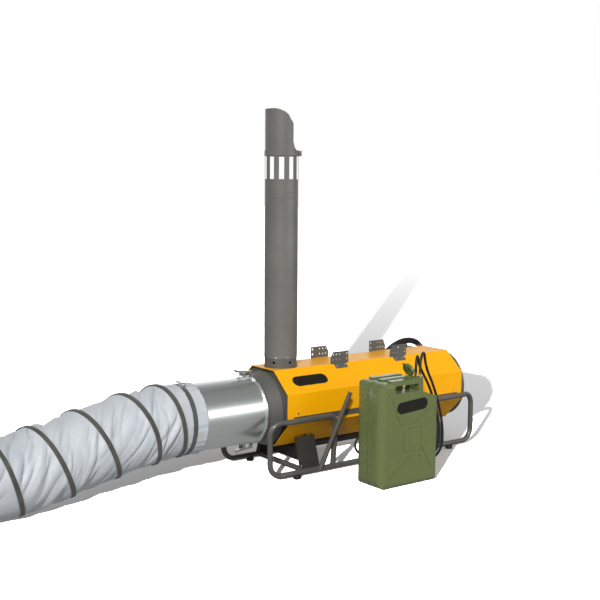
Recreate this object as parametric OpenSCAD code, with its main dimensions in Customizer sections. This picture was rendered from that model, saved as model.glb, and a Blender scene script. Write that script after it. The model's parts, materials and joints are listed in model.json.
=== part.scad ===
// Indirect fired space heater on a tube frame, with its flue, air duct, hoses and fuel can.
// Sizes are in millimetres. X runs along the heater from the air outlet to the fan, Z is up.

/* [Casing] */
// Length of the octagonal casing
casing_length = 1068; // [1000:1:1160]
// Width of the casing over its sides
casing_width = 390; // [376:1:410]
// Height of the casing's top face above the floor
casing_top = 477; // [474:1:500]
// Height of the casing's bottom face above the floor
casing_bottom = 134; // [126:1:135]
// Width of the flat top and bottom faces
casing_flat = 174; // [160:1:190]
// Height of each upper slanted face
upper_slope = 94; // [84:1:100]
// Height of each lower slanted face
lower_slope = 109; // [100:1:112]
// Height of the seam between the two covers
seam_height = 282; // [276:1:290]
// Thickness of the cover sheets
sheet = 2; // [1:0.5:2.5]
// Distance from the middle of the frame to the middle of the casing
casing_shift = 6; // [0:1:12]

/* [Air path] */
// Height of the fan and outlet axis above the floor
axis_height = 296; // [294:1:300]
// Outer diameter of the round shell inside the casing
shell_d = 316; // [308:1:318]
// How far the rear cover's rim stands over the inner shell
rear_cover_lip = 9; // [5:0.5:10]
// How far the rear cover stands out of the casing
rear_cover_out = 50; // [40:1:70]
// Distance from the casing to the face of the outlet ring
outlet_out = 73; // [68:1:90]
// Outer diameter of the outlet adapter
adapter_d = 294; // [286:1:298]
// Length of the outlet adapter
adapter_length = 409; // [380:1:440]

/* [Flue] */
// Outer diameter of the flue pipe
flue_d = 150; // [146:1:154]
// Distance from the casing's front edge to the flue's axis
flue_inset = 99; // [96:1:110]
// Height of the flue pipe's lower edge above the casing
flue_lift = 43; // [36:1:50]
// Length of the flue pipe with its slotted head
flue_length = 929; // [700:1:1000]
// Number of slots in the flue head
slot_count = 10; // [8:1:12]
// Height of the flue slots
slot_height = 102; // [80:1:110]
// Height of the rain hood above the clamp band
hood_height = 182; // [150:1:200]

/* [Frame] */
// Length of the frame between the axes of its end posts
frame_length = 1234; // [1200:1:1280]
// Width of the frame between the axes of its base tubes
frame_width = 377; // [368:1:382]
// Outer diameter of the frame tubes
tube_d = 25; // [22:1:26]
// Wall thickness of the frame tubes
tube_wall = 2; // [1.5:0.5:3]
// Height of the base tubes' axes above the floor
tube_height = 27; // [26:1:32]
// Height of the side loops' top runs
run_height = 267; // [260:1:270]
// Length of each side loop between its two uprights
loop_length = 347; // [320:1:360]
// Radius of the large bends of the frame tubes
bend_r = 60; // [50:1:64]

/* [Air duct] */
// Outer diameter of the duct's fabric
duct_d = 320; // [312:1:326]
// Distance between two turns of the duct's spiral where it is stretched
duct_pitch = 197; // [188:1:206]
// Length of the stretched part of the duct
duct_stretched = 1055; // [1030:1:1100]
// Number of spiral turns in the part that is pushed together
duct_packed_turns = 10; // [6:1:12]
// Distance between two turns where the duct is pushed together
duct_packed_pitch = 44; // [40:1:50]

/* [Fuel can] */
// Length of the fuel can
can_length = 345; // [330:1:360]
// Width of the fuel can
can_width = 165; // [155:1:175]
// Height of the fuel can over its handles
can_height = 470; // [460:1:480]

/* [Controls] */
// Length of the control box
box_length = 220; // [200:1:240]
// Height of the control box
box_height = 90; // [84:1:94]
// Depth of the control box
box_depth = 68; // [60:1:80]

/* [Cords] */
// Diameter of the power cable
cable_d = 9; // [8.5:0.1:9.2]
// Diameter of the fuel hoses
hose_d = 12; // [11:0.5:12.5]
// Number of turns in the power cable's coil
coil_turns = 5.5; // [3.5:1:7.5]

/* [Hidden] */
$fn = 48;

frame_grey = "#4a4c4d";
casing_yellow = "#f4b400";
dark_grey = "#3b3c3e";
black = "#1c1c1d";
zinc = "#b8bfc2";
steel = "#8d9396";
fabric_grey = "#cfd3da";
strip_brown = "#3c3a35";
olive = "#5f6f3e";
brass = "#b7964a";

// General clearances
// Overrun of every cut
overrun = 1;
// Gap between curved faces that only lie side by side
side_gap = 0.3;
// Radial clearance of a shaft in its bore
fit_gap = 0.05;

// Casing places
casing_front = casing_shift - casing_length / 2;
casing_rear = casing_shift + casing_length / 2;
bulkhead_inset = 14;
front_bulkhead = casing_front + bulkhead_inset;
rear_bulkhead = casing_rear - bulkhead_inset;
flue_x = casing_front + flue_inset;
flue_wall = 1;
flue_hole = flue_d + 6 * flue_wall;
outlet_x = casing_front - outlet_out;
adapter_end = outlet_x - adapter_length;
slope_run = (casing_width - casing_flat) / 2;
casing_outline = [
  [casing_flat / 2, casing_bottom],
  [casing_width / 2, casing_bottom + lower_slope],
  [casing_width / 2, casing_top - upper_slope],
  [casing_flat / 2, casing_top],
  [-casing_flat / 2, casing_top],
  [-casing_width / 2, casing_top - upper_slope],
  [-casing_width / 2, casing_bottom + lower_slope],
  [-casing_flat / 2, casing_bottom]];

// Frame places
post_x = frame_length / 2;
side_y = frame_width / 2;
rail_thick = 4;
rail_high = 24;
rail_inset = 34;
rail_gap = 1.5;
rail_y = casing_width / 2 + rail_thick;
run_y = rail_y + rail_gap + tube_d / 2;
run_bend_x = 90;
inner_bend_r = 45;
kink_r = 120;
bend_lap = 0.5;
bend_squeeze = 0.1;
weld_lift = 3;
loop_start = 120;
foot_d = 34;
foot_x = 470;
foot_lap = 6;
cross_x = 420;

// Leg plates and what they carry
leg_wide = 96;
leg_thick = 3;
leg_flange = 20;
leg_x = 390;
leg_base_y = side_y - leg_thick;
leg_base_z = tube_height;
leg_lean = 17;
leg_top = 174;
tray_wide = 140;
tray_deep = 22;
tray_length = 880;
saddle_thick = 4;
saddle_low = 52;
saddle_flat_share = 0.7;

// Hanger arms
arm_d = 21;
arm_foot_x = 356;
arm_foot_y = 205;
arm_top_x = 222;
arm_top_y = 252;
arm_top_z = 373;

// The size of the whole object without its cords, and the place of the heater in it
can_x = -139;
can_y = -480;
box_x = 0;
knob_high = 20;
lid_thick = 2;
cuff_overlap = 105;
object_low_x = adapter_end + cuff_overlap - duct_stretched - duct_packed_turns * duct_packed_pitch;
object_high_x = post_x + tube_d / 2;
object_low_y = can_y - can_width / 2;
object_high_y = casing_width / 2 + box_depth + lid_thick + knob_high;
heater_x = -(object_low_x + object_high_x) / 2;
heater_y = -(object_low_y + object_high_y) / 2;

// Shared functions and modules

function unit(v) = v / norm(v);

// The corners of a convex outline, listed anticlockwise, moved inwards by depth
function inset(points, depth) = let (n = len(points)) [
  for (i = [0:n - 1])
  let (
    a = points[(i + n - 1) % n],
    b = points[i],
    c = points[(i + 1) % n],
    u = unit([b.y - a.y, a.x - b.x]),
    w = unit([c.y - b.y, b.x - c.x]))
  b - depth * (u + w) / (1 + u * w)];

// The points of one corner of an outline, rounded by an arc of n steps
function corner(a, b, c, r, n) = let (
  u = unit(a - b),
  w = unit(c - b),
  half = acos(u * w) / 2,
  s = b + u * r / tan(half),
  e = b + w * r / tan(half),
  o = b + unit(u + w) * r / sin(half),
  first = atan2(s.y - o.y, s.x - o.x),
  turn = atan2(e.y - o.y, e.x - o.x) - first,
  sweep = turn > 180 ? turn - 360 : turn < -180 ? turn + 360 : turn)
  r == 0 ? [b] : [for (k = [0:n]) o + r * [cos(first + sweep * k / n), sin(first + sweep * k / n)]];

function rounded(points, radii, n = 5) = let (m = len(points)) [
  for (i = [0:m - 1])
  each corner(points[(i + m - 1) % m], points[i], points[(i + 1) % m], radii[i], n)];

function smooth(t) = let (s = min(max(t, 0), 1)) s * s * (3 - 2 * s);

module at_heater() translate([heater_x, heater_y, 0]) children();

// Children's Z axis laid along the heater's axis, starting at x
module on_axis(x) translate([x, 0, axis_height]) rotate([0, 90, 0]) children();

// A flat shape, given in Y and Z, made into a slab that starts at x
module slab_x(x, length) translate([x, 0, 0]) rotate([90, 0, 90]) linear_extrude(length) children();

// A flat shape, given in X and Z, made into a slab that starts at y
module slab_y(y, depth) translate([0, y + depth, 0]) rotate([90, 0, 0]) linear_extrude(depth) children();

module both_sides() {
  children();
  mirror([0, 1, 0]) children();
}

module both_ends() {
  children();
  mirror([1, 0, 0]) children();
}

module tube(d, wall, h) linear_extrude(h) difference() {
  circle(d = d);
  circle(d = d - 2 * wall);
}

// A round rod between two points, drawn longer by extra at its ends
module rod(a, b, d, extra) {
  dir = unit(b - a);
  side = unit(cross(dir, abs(dir.z) > 0.9 ? [1, 0, 0] : [0, 0, 1]));
  up = cross(dir, side);
  o = a - dir * extra;
  multmatrix([
    [side.x, up.x, dir.x, o.x],
    [side.y, up.y, dir.y, o.y],
    [side.z, up.z, dir.z, o.z]])
    cylinder(d = d, h = norm(b - a) + 2 * extra);
}

// A round rod along a bent path, with a bend radius for each inner point
module bent_rod(points, radii, d, extra) {
  last = len(points) - 1;
  dirs = [for (i = [0:last - 1]) unit(points[i + 1] - points[i])];
  turns = [for (i = [0:last]) i == 0 || i == last ? 0 : acos(dirs[i - 1] * dirs[i])];
  cuts = [for (i = [0:last]) i == 0 || i == last ? -extra : radii[i - 1] * tan(turns[i] / 2) - bend_lap];
  for (i = [0:last - 1])
    rod(points[i] + dirs[i] * cuts[i], points[i + 1] - dirs[i] * cuts[i + 1], d, 0);
  for (i = [1:last - 1]) {
    n = unit(cross(dirs[i - 1], dirs[i]));
    m = unit(cross(n, dirs[i - 1]));
    c = points[i] - dirs[i - 1] * (cuts[i] + bend_lap) + m * radii[i - 1];
    multmatrix([
      [-m.x, dirs[i - 1].x, n.x, c.x],
      [-m.y, dirs[i - 1].y, n.y, c.y],
      [-m.z, dirs[i - 1].z, n.z, c.z]])
      rotate_extrude(angle = turns[i]) translate([radii[i - 1], 0]) circle(d = d - bend_squeeze);
  }
}

// A closed solid through rings of points, with a flat fan at each end
module loft(rings) {
  n = len(rings[0]);
  last = len(rings) - 1;
  points = [for (ring = rings) each ring];
  sides = [for (i = [0:last - 1], j = [0:n - 1])
    let (a = i * n + j, b = i * n + (j + 1) % n)
    each [[a, b, a + n], [b, b + n, a + n]]];
  caps = [for (j = [1:n - 2]) each [[0, j + 1, j], [last * n, last * n + j, last * n + j + 1]]];
  polyhedron(points = points, faces = concat(sides, caps), convexity = 10);
}

// The same with an inner wall, open at both ends
module hollow_loft(outer, inner) {
  n = len(outer[0]);
  last = len(outer) - 1;
  k = (last + 1) * n;
  points = concat([for (ring = outer) each ring], [for (ring = inner) each ring]);
  sides = [for (i = [0:last - 1], j = [0:n - 1])
    let (a = i * n + j, b = i * n + (j + 1) % n)
    each [[a, b, a + n], [b, b + n, a + n],
      [k + a, k + a + n, k + b], [k + b, k + a + n, k + b + n]]];
  ends = [for (j = [0:n - 1])
    let (a = j, b = (j + 1) % n, c = last * n + j, d = last * n + (j + 1) % n)
    each [[a, k + a, b], [b, k + a, k + b], [c, d, k + c], [d, k + d, k + c]]];
  polyhedron(points = points, faces = concat(sides, ends), convexity = 10);
}

// A point of the smooth curve through four route points, at share t of the middle stretch
function between(p, i, t) = let (
  m = len(p) - 1,
  a = p[max(i - 1, 0)],
  b = p[i],
  c = p[min(i + 1, m)],
  d = p[min(i + 2, m)])
  0.5 * (2 * b + (c - a) * t + (2 * a - 5 * b + 4 * c - d) * t * t
    + (3 * b - a - 3 * c + d) * t * t * t);

function route(p, steps) = concat(
  [for (i = [0:len(p) - 2], k = [0:steps - 1]) between(p, i, k / steps)],
  [p[len(p) - 1]]);

function headings(p) = let (m = len(p) - 1) [
  for (i = [0:m]) unit(p[min(i + 1, m)] - p[max(i - 1, 0)])];

function square_to(v, t) = unit(v - (v * t) * t);

// A round cord of the given diameter along a list of points
module cord(p, d, sides) {
  t = headings(p);
  first = square_to(abs(t[0].z) > 0.9 ? [1, 0, 0] : [0, 0, 1], t[0]);
  u = [for (i = 0, v = first; i < len(p); i = i + 1, v = square_to(v, t[min(i, len(p) - 1)])) v];
  loft([for (i = [0:len(p) - 1])
    let (w = cross(t[i], u[i]))
    [for (j = [0:sides - 1]) p[i] + (cos(360 * j / sides) * u[i] + sin(360 * j / sides) * w) * d / 2]]);
}

// Frame

module base_tube_solids(y) translate([-post_x, y, tube_height]) rotate([0, 90, 0])
  cylinder(d = tube_d, h = frame_length);

module base_tubes() color(frame_grey) at_heater() both_sides()
  translate([loop_start - post_x, side_y, tube_height]) rotate([0, 90, 0])
  tube(tube_d, tube_wall, frame_length - 2 * loop_start);

// Path of one side loop at the outlet end: post, top run and inner upright
loop_path = [
  [loop_start - post_x, side_y, tube_height],
  [-post_x, side_y, tube_height],
  [-post_x, side_y, run_height],
  [run_bend_x - post_x, run_y, run_height],
  [loop_length - post_x, run_y, run_height],
  [loop_length - post_x, side_y, tube_height]];
loop_bends = [bend_r, bend_r, kink_r, inner_bend_r];

module end_loop() difference() {
  bent_rod(loop_path, loop_bends, tube_d, 0);
  bent_rod(loop_path, loop_bends, tube_d - 2 * tube_wall, overrun);
  translate([loop_start + overrun - post_x, side_y, tube_height]) rotate([0, 90, 0])
    cylinder(d = tube_d, h = loop_length);
  translate([loop_start + overrun - post_x, 0, 0]) cube([loop_length, 2 * side_y, tube_height + weld_lift]);
}

module front_end_loops() color(frame_grey) at_heater() both_sides() end_loop();

module rear_end_loops() color(frame_grey) at_heater() mirror([1, 0, 0]) both_sides() end_loop();

module cross_tubes() color(frame_grey) at_heater() difference() {
  both_ends() translate([cross_x, -side_y, tube_height]) rotate([-90, 0, 0])
    tube(tube_d, tube_wall, frame_width);
  both_sides() base_tube_solids(side_y);
}

module rubber_feet() color(black) at_heater() difference() {
  both_sides() both_ends() translate([foot_x, side_y, 0])
    cylinder(d = foot_d, h = tube_height - tube_d / 2 + foot_lap);
  both_sides() base_tube_solids(side_y);
}

module side_rails() color(frame_grey) at_heater() both_sides()
  translate([casing_front + rail_inset, casing_width / 2, seam_height - rail_high])
  cube([casing_length - 2 * rail_inset, rail_thick, rail_high]);

module casing_block() slab_x(casing_front, casing_length) polygon(casing_outline);

// A leaning channel from the base tube up to the lower slanted face
module leg_plates() color(dark_grey) at_heater() difference() {
  both_sides() both_ends() translate([leg_x - leg_wide / 2, leg_base_y, leg_base_z]) rotate([leg_lean, 0, 0]) {
    cube([leg_wide, leg_thick, casing_bottom + lower_slope]);
    for (x = [0, leg_wide - leg_thick])
      translate([x, -leg_flange, tube_d]) cube([leg_thick, leg_flange, casing_bottom + lower_slope]);
  }
  casing_block();
  slab_x(-post_x, frame_length) translate([-casing_width, leg_top])
    square([2 * casing_width, casing_top]);
  both_sides() base_tube_solids(side_y);
  both_ends() translate([cross_x, -side_y, tube_height]) rotate([-90, 0, 0])
    cylinder(d = tube_d, h = frame_width);
}

// Inner face of a leg plate at height z
function leg_inner(z) = leg_base_y - (z - leg_base_z) * tan(leg_lean);

module saddle_plates() color(black) at_heater() difference() {
  both_ends() slab_x(leg_x - saddle_thick / 2, saddle_thick) polygon([
    [-saddle_flat_share * leg_inner(saddle_low), saddle_low],
    [saddle_flat_share * leg_inner(saddle_low), saddle_low],
    [leg_inner(tray_deep + saddle_low), tray_deep + saddle_low],
    [leg_inner(casing_bottom + lower_slope / 2), casing_bottom + lower_slope / 2],
    [-leg_inner(casing_bottom + lower_slope / 2), casing_bottom + lower_slope / 2],
    [-leg_inner(tray_deep + saddle_low), tray_deep + saddle_low]]);
  casing_block();
  translate([-tray_length / 2, -tray_wide / 2, casing_bottom - tray_deep])
    cube([tray_length, tray_wide, tray_deep]);
}

// A channel under the casing
module undertray() color(black) at_heater() difference() {
  translate([-tray_length / 2, -tray_wide / 2, casing_bottom - tray_deep])
    cube([tray_length, tray_wide, tray_deep]);
  translate([-tray_length / 2 - overrun, sheet - tray_wide / 2, casing_bottom - tray_deep - overrun])
    cube([tray_length + 2 * overrun, tray_wide - 2 * sheet, tray_deep + overrun - sheet]);
  hose_port(casing_bottom - tray_deep);
}

arm_foot = [-arm_foot_x, arm_foot_y, tube_height];
arm_top = [-arm_top_x, arm_top_y, arm_top_z];

module hanger_arms() color(frame_grey) at_heater() both_sides() difference() {
  rod(arm_foot, arm_top, arm_d, 0);
  rod(arm_foot, arm_top, arm_d - 2 * tube_wall, overrun);
  base_tube_solids(side_y);
}

// Casing

module casing_shell() difference() {
  polygon(casing_outline);
  polygon(inset(casing_outline, sheet));
}

module upper_cover() color(casing_yellow) at_heater() difference() {
  slab_x(casing_front, casing_length) intersection() {
    casing_shell();
    translate([-casing_width, seam_height]) square([2 * casing_width, casing_top]);
  }
  translate([flue_x, 0, casing_top - flue_inset]) cylinder(d = flue_hole, h = 2 * flue_inset);
}

module lower_cover() color(casing_yellow) at_heater() difference() {
  slab_x(casing_front, casing_length) intersection() {
    casing_shell();
    translate([-casing_width, 0]) square([2 * casing_width, seam_height]);
  }
  hose_port(casing_bottom);
}

// Where the fuel hoses rise through the underside
burner_x = 70;
burner_half = 45;
pump_long = 30;
pump_side = 52;
port_gap = 26;
pump_y = -burner_half - pump_long / 2;
port_clear = 8;

module hose_port(z) translate([burner_x, pump_y, z - overrun]) linear_extrude(casing_bottom) {
  square([port_gap, hose_d + port_clear], center = true);
  for (side = [-1, 1])
    translate([side * port_gap / 2, 0]) circle(d = hose_d + port_clear);
}

module inner_shell() color(zinc) at_heater() difference() {
  union() {
    on_axis(front_bulkhead) tube(shell_d, sheet, rear_bulkhead - front_bulkhead);
    for (x = [front_bulkhead, rear_bulkhead - sheet])
      slab_x(x, sheet) difference() {
        polygon(inset(casing_outline, sheet));
        translate([0, axis_height]) circle(d = shell_d - 2 * sheet);
      }
  }
  translate([flue_x, 0, axis_height]) cylinder(d = flue_hole, h = shell_d);
  hose_port(casing_bottom);
}

cone_lip = 10;
cone_back_d = shell_d + 2 * cone_lip;
cone_edge = 6;
neck_d = 294;
neck_long = 14;
rim_d = 306;
rim_thick = 6;

module front_cone() color(dark_grey) at_heater() on_axis(outlet_x) rotate_extrude() polygon([
  [rim_d / 2, 0],
  [rim_d / 2, rim_thick],
  [neck_d / 2, rim_thick],
  [neck_d / 2, neck_long],
  [cone_back_d / 2, outlet_out - cone_edge],
  [cone_back_d / 2, outlet_out],
  [shell_d / 2, outlet_out],
  [shell_d / 2, outlet_out + bulkhead_inset],
  [shell_d / 2 - sheet, outlet_out + bulkhead_inset],
  [shell_d / 2 - sheet, outlet_out - sheet],
  [cone_back_d / 2 - sheet, outlet_out - sheet],
  [cone_back_d / 2 - sheet, outlet_out - cone_edge],
  [neck_d / 2 - sheet, neck_long],
  [neck_d / 2 - sheet, 0]]);

guard_lip = 12;
rear_cover_d = shell_d + 2 * rear_cover_lip;

module rear_cover() color(dark_grey) at_heater() on_axis(rear_bulkhead) {
  tube(shell_d, sheet, bulkhead_inset + sheet);
  translate([0, 0, bulkhead_inset]) {
    tube(rear_cover_d, (rear_cover_d - shell_d) / 2 + sheet, sheet);
    tube(rear_cover_d, sheet, rear_cover_out);
    translate([0, 0, rear_cover_out - sheet]) tube(rear_cover_d, guard_lip, sheet);
  }
}

guard_wire = 4;
guard_rings = 7;
guard_bar = 5;
guard_hub_d = 30;
guard_x = casing_rear + rear_cover_out - sheet - guard_bar;

module inlet_guard() color(frame_grey) at_heater() on_axis(guard_x) {
  reach = rear_cover_d / 2 - sheet;
  for (i = [1:guard_rings])
    rotate_extrude() translate([i * (reach - guard_wire) / guard_rings, 0]) circle(d = guard_wire, $fn = 16);
  for (a = [0:60:300])
    rotate([0, 0, a]) translate([guard_hub_d / 3, 0, -guard_wire / 2]) rotate([0, 90, 0])
      cylinder(d = guard_bar, h = reach - guard_hub_d / 3, $fn = 16);
  translate([0, 0, -guard_wire / 2]) cylinder(d = guard_hub_d, h = guard_wire);
}

// Blank plates: one on each upper slanted face and one on each wide face of the can
badge_long = 190;
badge_high = 54;
badge_thick = 2;
badge_x = -368;
badge_drop = 75;
slope_tilt = atan2(upper_slope, slope_run);
can_badge_long = 176;
can_badge_high = 50;
can_badge_x = 8;
can_badge_z = 355;
can_badge_lean = 4;

module obround(long, high, thick) linear_extrude(thick) {
  square([long - high, high], center = true);
  for (side = [-1, 1])
    translate([side * (long - high) / 2, 0]) circle(d = high);
}

// Children's XY plane laid on an upper slanted face, at a distance from its upper fold
module on_slope(x, drop) translate([x, -casing_flat / 2, casing_top]) rotate([slope_tilt, 0, 0])
  translate([0, -drop, 0]) children();

module badge_plates() color(black) at_heater() {
  both_sides() on_slope(badge_x, badge_drop) obround(badge_long, badge_high, badge_thick);
  translate([can_x, can_y, 0]) for (side = [-1, 1])
    translate([can_badge_x, side * can_width / 2, can_badge_z]) rotate([90, 0, 0])
      translate([0, 0, side > 0 ? -badge_thick : 0])
      rotate([0, 0, can_badge_lean]) obround(can_badge_long, can_badge_high, badge_thick);
}

screw_d = 9;
screw_high = 3;
screw_inset = 56;
screw_lift = 14;
rail_bolt_x = 180;
cradle_bolt_d = 12;
cradle_bolt_high = 6;
clip_wide = 12;
clip_high = 10;
clip_thick = 3;
clip_turns = [-142, -102, 38, 78];

// Cover screws, cradle bolts and the flue clips
module casing_fasteners() color(zinc) at_heater() {
  both_sides() {
    for (x = [casing_front + screw_inset, casing_rear - screw_inset])
      translate([x, casing_width / 2, seam_height + screw_lift]) rotate([-90, 0, 0])
        cylinder(d = screw_d, h = screw_high);
    for (x = [-rail_bolt_x, rail_bolt_x])
      translate([x, rail_y, seam_height - rail_high / 2]) rotate([-90, 0, 0])
        cylinder(d = screw_d, h = screw_high);
  }
  for (x = cradle_places, dx = [-cradle_bolt_gap, cradle_bolt_gap], side = [0, 1])
    mirror([0, side, 0]) on_slope(x + side * cradle_far_shift + dx / 2, cradle_thick + cradle_flange / 2)
      translate([0, 0, cradle_thick]) cylinder(d = cradle_bolt_d, h = cradle_bolt_high, $fn = 6);
  for (a = clip_turns)
    translate([flue_x, 0, casing_top + flue_lift]) rotate([0, 0, a]) difference() {
      translate([0, -clip_wide / 2, 0]) cube([flue_d / 2 + clip_thick, clip_wide, clip_high]);
      translate([0, 0, -overrun]) cylinder(d = flue_d, h = clip_high + 2 * overrun);
    }
}

// Flue

collar_d = flue_d - 2 * flue_wall - 2 * side_gap;
collar_up = 68;
collar_flange_d = 164;
collar_hole_d = 13;
collar_hole_lift = 25;
collar_holes = 6;

module flue_collar() color(dark_grey) at_heater() translate([flue_x, 0, 0]) difference() {
  translate([0, 0, casing_top - 2 * sheet]) {
    cylinder(d = collar_d, h = collar_up + 2 * sheet);
    cylinder(d = collar_flange_d, h = sheet);
  }
  translate([0, 0, casing_top - collar_up]) cylinder(d = collar_d - 2 * sheet, h = 3 * collar_up);
  for (i = [0:collar_holes / 2 - 1])
    translate([0, 0, casing_top + collar_hole_lift]) rotate([0, 90, 30 + i * 360 / collar_holes])
      cylinder(d = collar_hole_d, h = 2 * flue_d, center = true);
}

flue_base = casing_top + flue_lift;
flue_top = flue_base + flue_length;
head_ring = 24;
bead_high = 1.5;
bead_shares = [0.36, 0.395, 0.42, 0.775, 0.8];
slot_turn = 18.5;

module flue_pipe() color(dark_grey) at_heater() translate([flue_x, 0, flue_base]) difference() {
  union() {
    cylinder(d = flue_d, h = flue_length);
    for (s = bead_shares)
      translate([0, 0, s * flue_length]) rotate_extrude()
        translate([flue_d / 2 - bead_high / 2, 0]) circle(d = 2 * bead_high, $fn = 16);
  }
  translate([0, 0, -overrun]) cylinder(d = flue_d - 2 * flue_wall, h = flue_length + 2 * overrun);
  for (i = [0:slot_count - 1])
    rotate([0, 0, slot_turn + i * 360 / slot_count])
      translate([0, -slot_wide / 2, flue_length - head_ring - slot_height])
      cube([flue_d, slot_wide, slot_height]);
}

slot_wide = flue_d * sin(90 / slot_count);
band_thick = 2;
band_inner = flue_d + 2 * side_gap;
lug_out = 12;
lug_thick = 3;
lug_gap = 5;
hood_turn = -37;
clamp_bolt_d = 6;

module hood_clamp() color(steel) at_heater() translate([flue_x, 0, flue_top - head_ring]) rotate([0, 0, hood_turn]) {
  difference() {
    tube(band_inner + 2 * band_thick, band_thick, head_ring);
    translate([0, -lug_gap / 2, -overrun]) cube([flue_d, lug_gap, head_ring + 2 * overrun]);
  }
  for (side = [-1, 1])
    translate([band_inner / 2, side * (lug_gap + lug_thick) / 2 - lug_thick / 2, 0])
      cube([lug_out + band_thick, lug_thick, head_ring]);
  translate([band_inner / 2 + band_thick + lug_out / 2, 0, head_ring / 2]) rotate([90, 0, 0])
    cylinder(d = clamp_bolt_d, h = 2 * lug_out, center = true);
}

hood_d = flue_d - 1;
skirt_long = 18;
hood_wall = 1.5;
// Side view of the hood: distance towards its mouth in shares of the radius, height in shares
hood_shares = [[-1.2, 0], [0.9, 0], [0.78, 0.08], [0.69, 0.25], [0.69, 0.67], [0.55, 0.76], [0.42, 0.86],
  [0.23, 0.92], [-0.05, 0.97], [-0.33, 1], [-1.2, 1]];
mouth_low_share = 0.25;
mouth_high_share = 0.67;

module hood_side(d, height) slab_y(-d, 2 * d)
  polygon([for (s = hood_shares) [s.x * d / 2, s.y * height]]);

module rain_hood() color(dark_grey) at_heater() translate([flue_x, 0, flue_top + side_gap]) rotate([0, 0, hood_turn]) {
  difference() {
    intersection() {
      cylinder(d = hood_d, h = hood_height);
      hood_side(hood_d, hood_height);
    }
    translate([0, 0, -overrun]) intersection() {
      cylinder(d = hood_d - 2 * hood_wall, h = hood_height);
      translate([-hood_wall, 0, 0]) hood_side(hood_d, hood_height);
    }
    translate([0, -hood_d / 3, hood_height * mouth_low_share + hood_wall])
      cube([hood_d, 2 * hood_d / 3, hood_height * (mouth_high_share - mouth_low_share) - 2 * hood_wall]);
  }
  translate([0, 0, -skirt_long]) tube(collar_d, hood_wall, skirt_long + hood_wall);
}

// Cradle plates that carry the flue pipes when the heater is moved

cradle_wide = 104;
cradle_high = 54;
cradle_thick = 3;
cradle_flange = 28;
cradle_flange_wide = 68;
cradle_bolt_gap = 44;
cradle_places = [-156, 208];
cradle_far_shift = 20;
cradle_chamfer = 14;
cradle_hole_d = 6;
cradle_hole_columns = [15, 33, 52];
cradle_hole_rows = [18, 42];
cradle_slot_d = 9;
cradle_slot_inset = 9;

module cradle_plate() {
  difference() {
    slab_y(0, cradle_thick) polygon([
      [-cradle_wide / 2, -cradle_thick],
      [cradle_wide / 2, -cradle_thick],
      [cradle_wide / 2, cradle_high],
      [cradle_chamfer - cradle_wide / 2, cradle_high],
      [-cradle_wide / 2, cradle_high - 2 * cradle_chamfer]]);
    for (x = cradle_hole_columns, z = cradle_hole_rows)
      translate([x - cradle_wide / 2, cradle_thick + overrun, z]) rotate([90, 0, 0])
        cylinder(d = cradle_hole_d, h = cradle_thick + 2 * overrun);
    for (z = cradle_hole_rows)
      translate([cradle_wide / 2 - cradle_slot_inset, cradle_thick + overrun, z]) rotate([90, 0, 0])
        cylinder(d = cradle_slot_d, h = cradle_thick + 2 * overrun);
  }
  rotate([-slope_tilt, 0, 0]) translate([-cradle_flange_wide / 2, 0, 0])
    cube([cradle_flange_wide, cradle_thick + cradle_flange, cradle_thick]);
}

module cradle_plates() color(dark_grey) at_heater() difference() {
  for (x = cradle_places) {
    mirror([0, 1, 0]) translate([x, casing_flat / 2, casing_top]) cradle_plate();
    translate([x + cradle_far_shift, casing_flat / 2, casing_top]) mirror([1, 0, 0]) cradle_plate();
  }
  casing_block();
}

// Outlet adapter and its toggle latches

adapter_wall = 1.5;
seat_gap = 0.3;
adapter_face = outlet_x - seat_gap;

module outlet_adapter() color(zinc) at_heater() {
  on_axis(adapter_end) tube(adapter_d, adapter_wall, adapter_face - adapter_end);
  on_axis(adapter_face - rim_thick) tube(rim_d, (rim_d - adapter_d) / 2 + adapter_wall, rim_thick);
}

latch_wide = 30;
latch_long = 46;
latch_plate = 4;
latch_back = 30;
ear_thick = 3;
ear_long = 16;
ear_high = 26;
pivot_lift = 18;
pin_d = 5;
lever_wide = 20;
lever_long = 96;
lever_high = 34;
pivot_x = adapter_face - rim_thick - latch_back;
// Side view of a latch lever, in shares of its length and height, from its pivot
lever_shares = [[-0.42, 0.62], [-0.36, 0.30], [-0.1, 0.24], [-0.1, -0.2], [0.06, -0.2], [0.12, 0.12],
  [0.455, 0.06], [0.455, -0.4], [0.475, -0.47], [0.51, -0.4], [0.51, 0.3], [0.1, 0.42], [-0.28, 0.5],
  [-0.38, 0.66]];

// Children's Z axis points outwards from the heater's axis, turned round it by an angle
module on_rim(turn) translate([0, 0, axis_height]) rotate([turn, 0, 0]) children();

module latch_bracket() difference() {
  union() {
    translate([pivot_x - latch_long / 2, -latch_wide / 2, adapter_d / 2 - latch_plate])
      cube([latch_long, latch_wide, 2 * latch_plate]);
    for (side = [-1, 1])
      translate([pivot_x - ear_long / 2, side * (latch_wide - ear_thick) / 2 - ear_thick / 2, adapter_d / 2])
        cube([ear_long, ear_thick, ear_high]);
    translate([pivot_x, latch_wide / 2, adapter_d / 2 + pivot_lift]) rotate([90, 0, 0])
      cylinder(d = pin_d, h = latch_wide);
  }
  on_axis_here(pivot_x - latch_long) cylinder(d = adapter_d, h = 2 * latch_long, $fn = 240);
}

// The heater's axis inside on_rim
module on_axis_here(x) translate([x, 0, 0]) rotate([0, 90, 0]) children();

module latch_lever() translate([pivot_x, 0, adapter_d / 2 + pivot_lift]) difference() {
  slab_y(-lever_wide / 2, lever_wide)
    polygon([for (s = lever_shares) [s.x * lever_long, s.y * lever_high]]);
  rotate([90, 0, 0]) cylinder(d = pin_d + 2 * fit_gap, h = 2 * lever_wide, center = true);
}

module latch_brackets() color(zinc) at_heater() for (turn = [0, 180]) on_rim(turn) latch_bracket();

module latch_lever_top() color(zinc) at_heater() on_rim(0) latch_lever();

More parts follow.
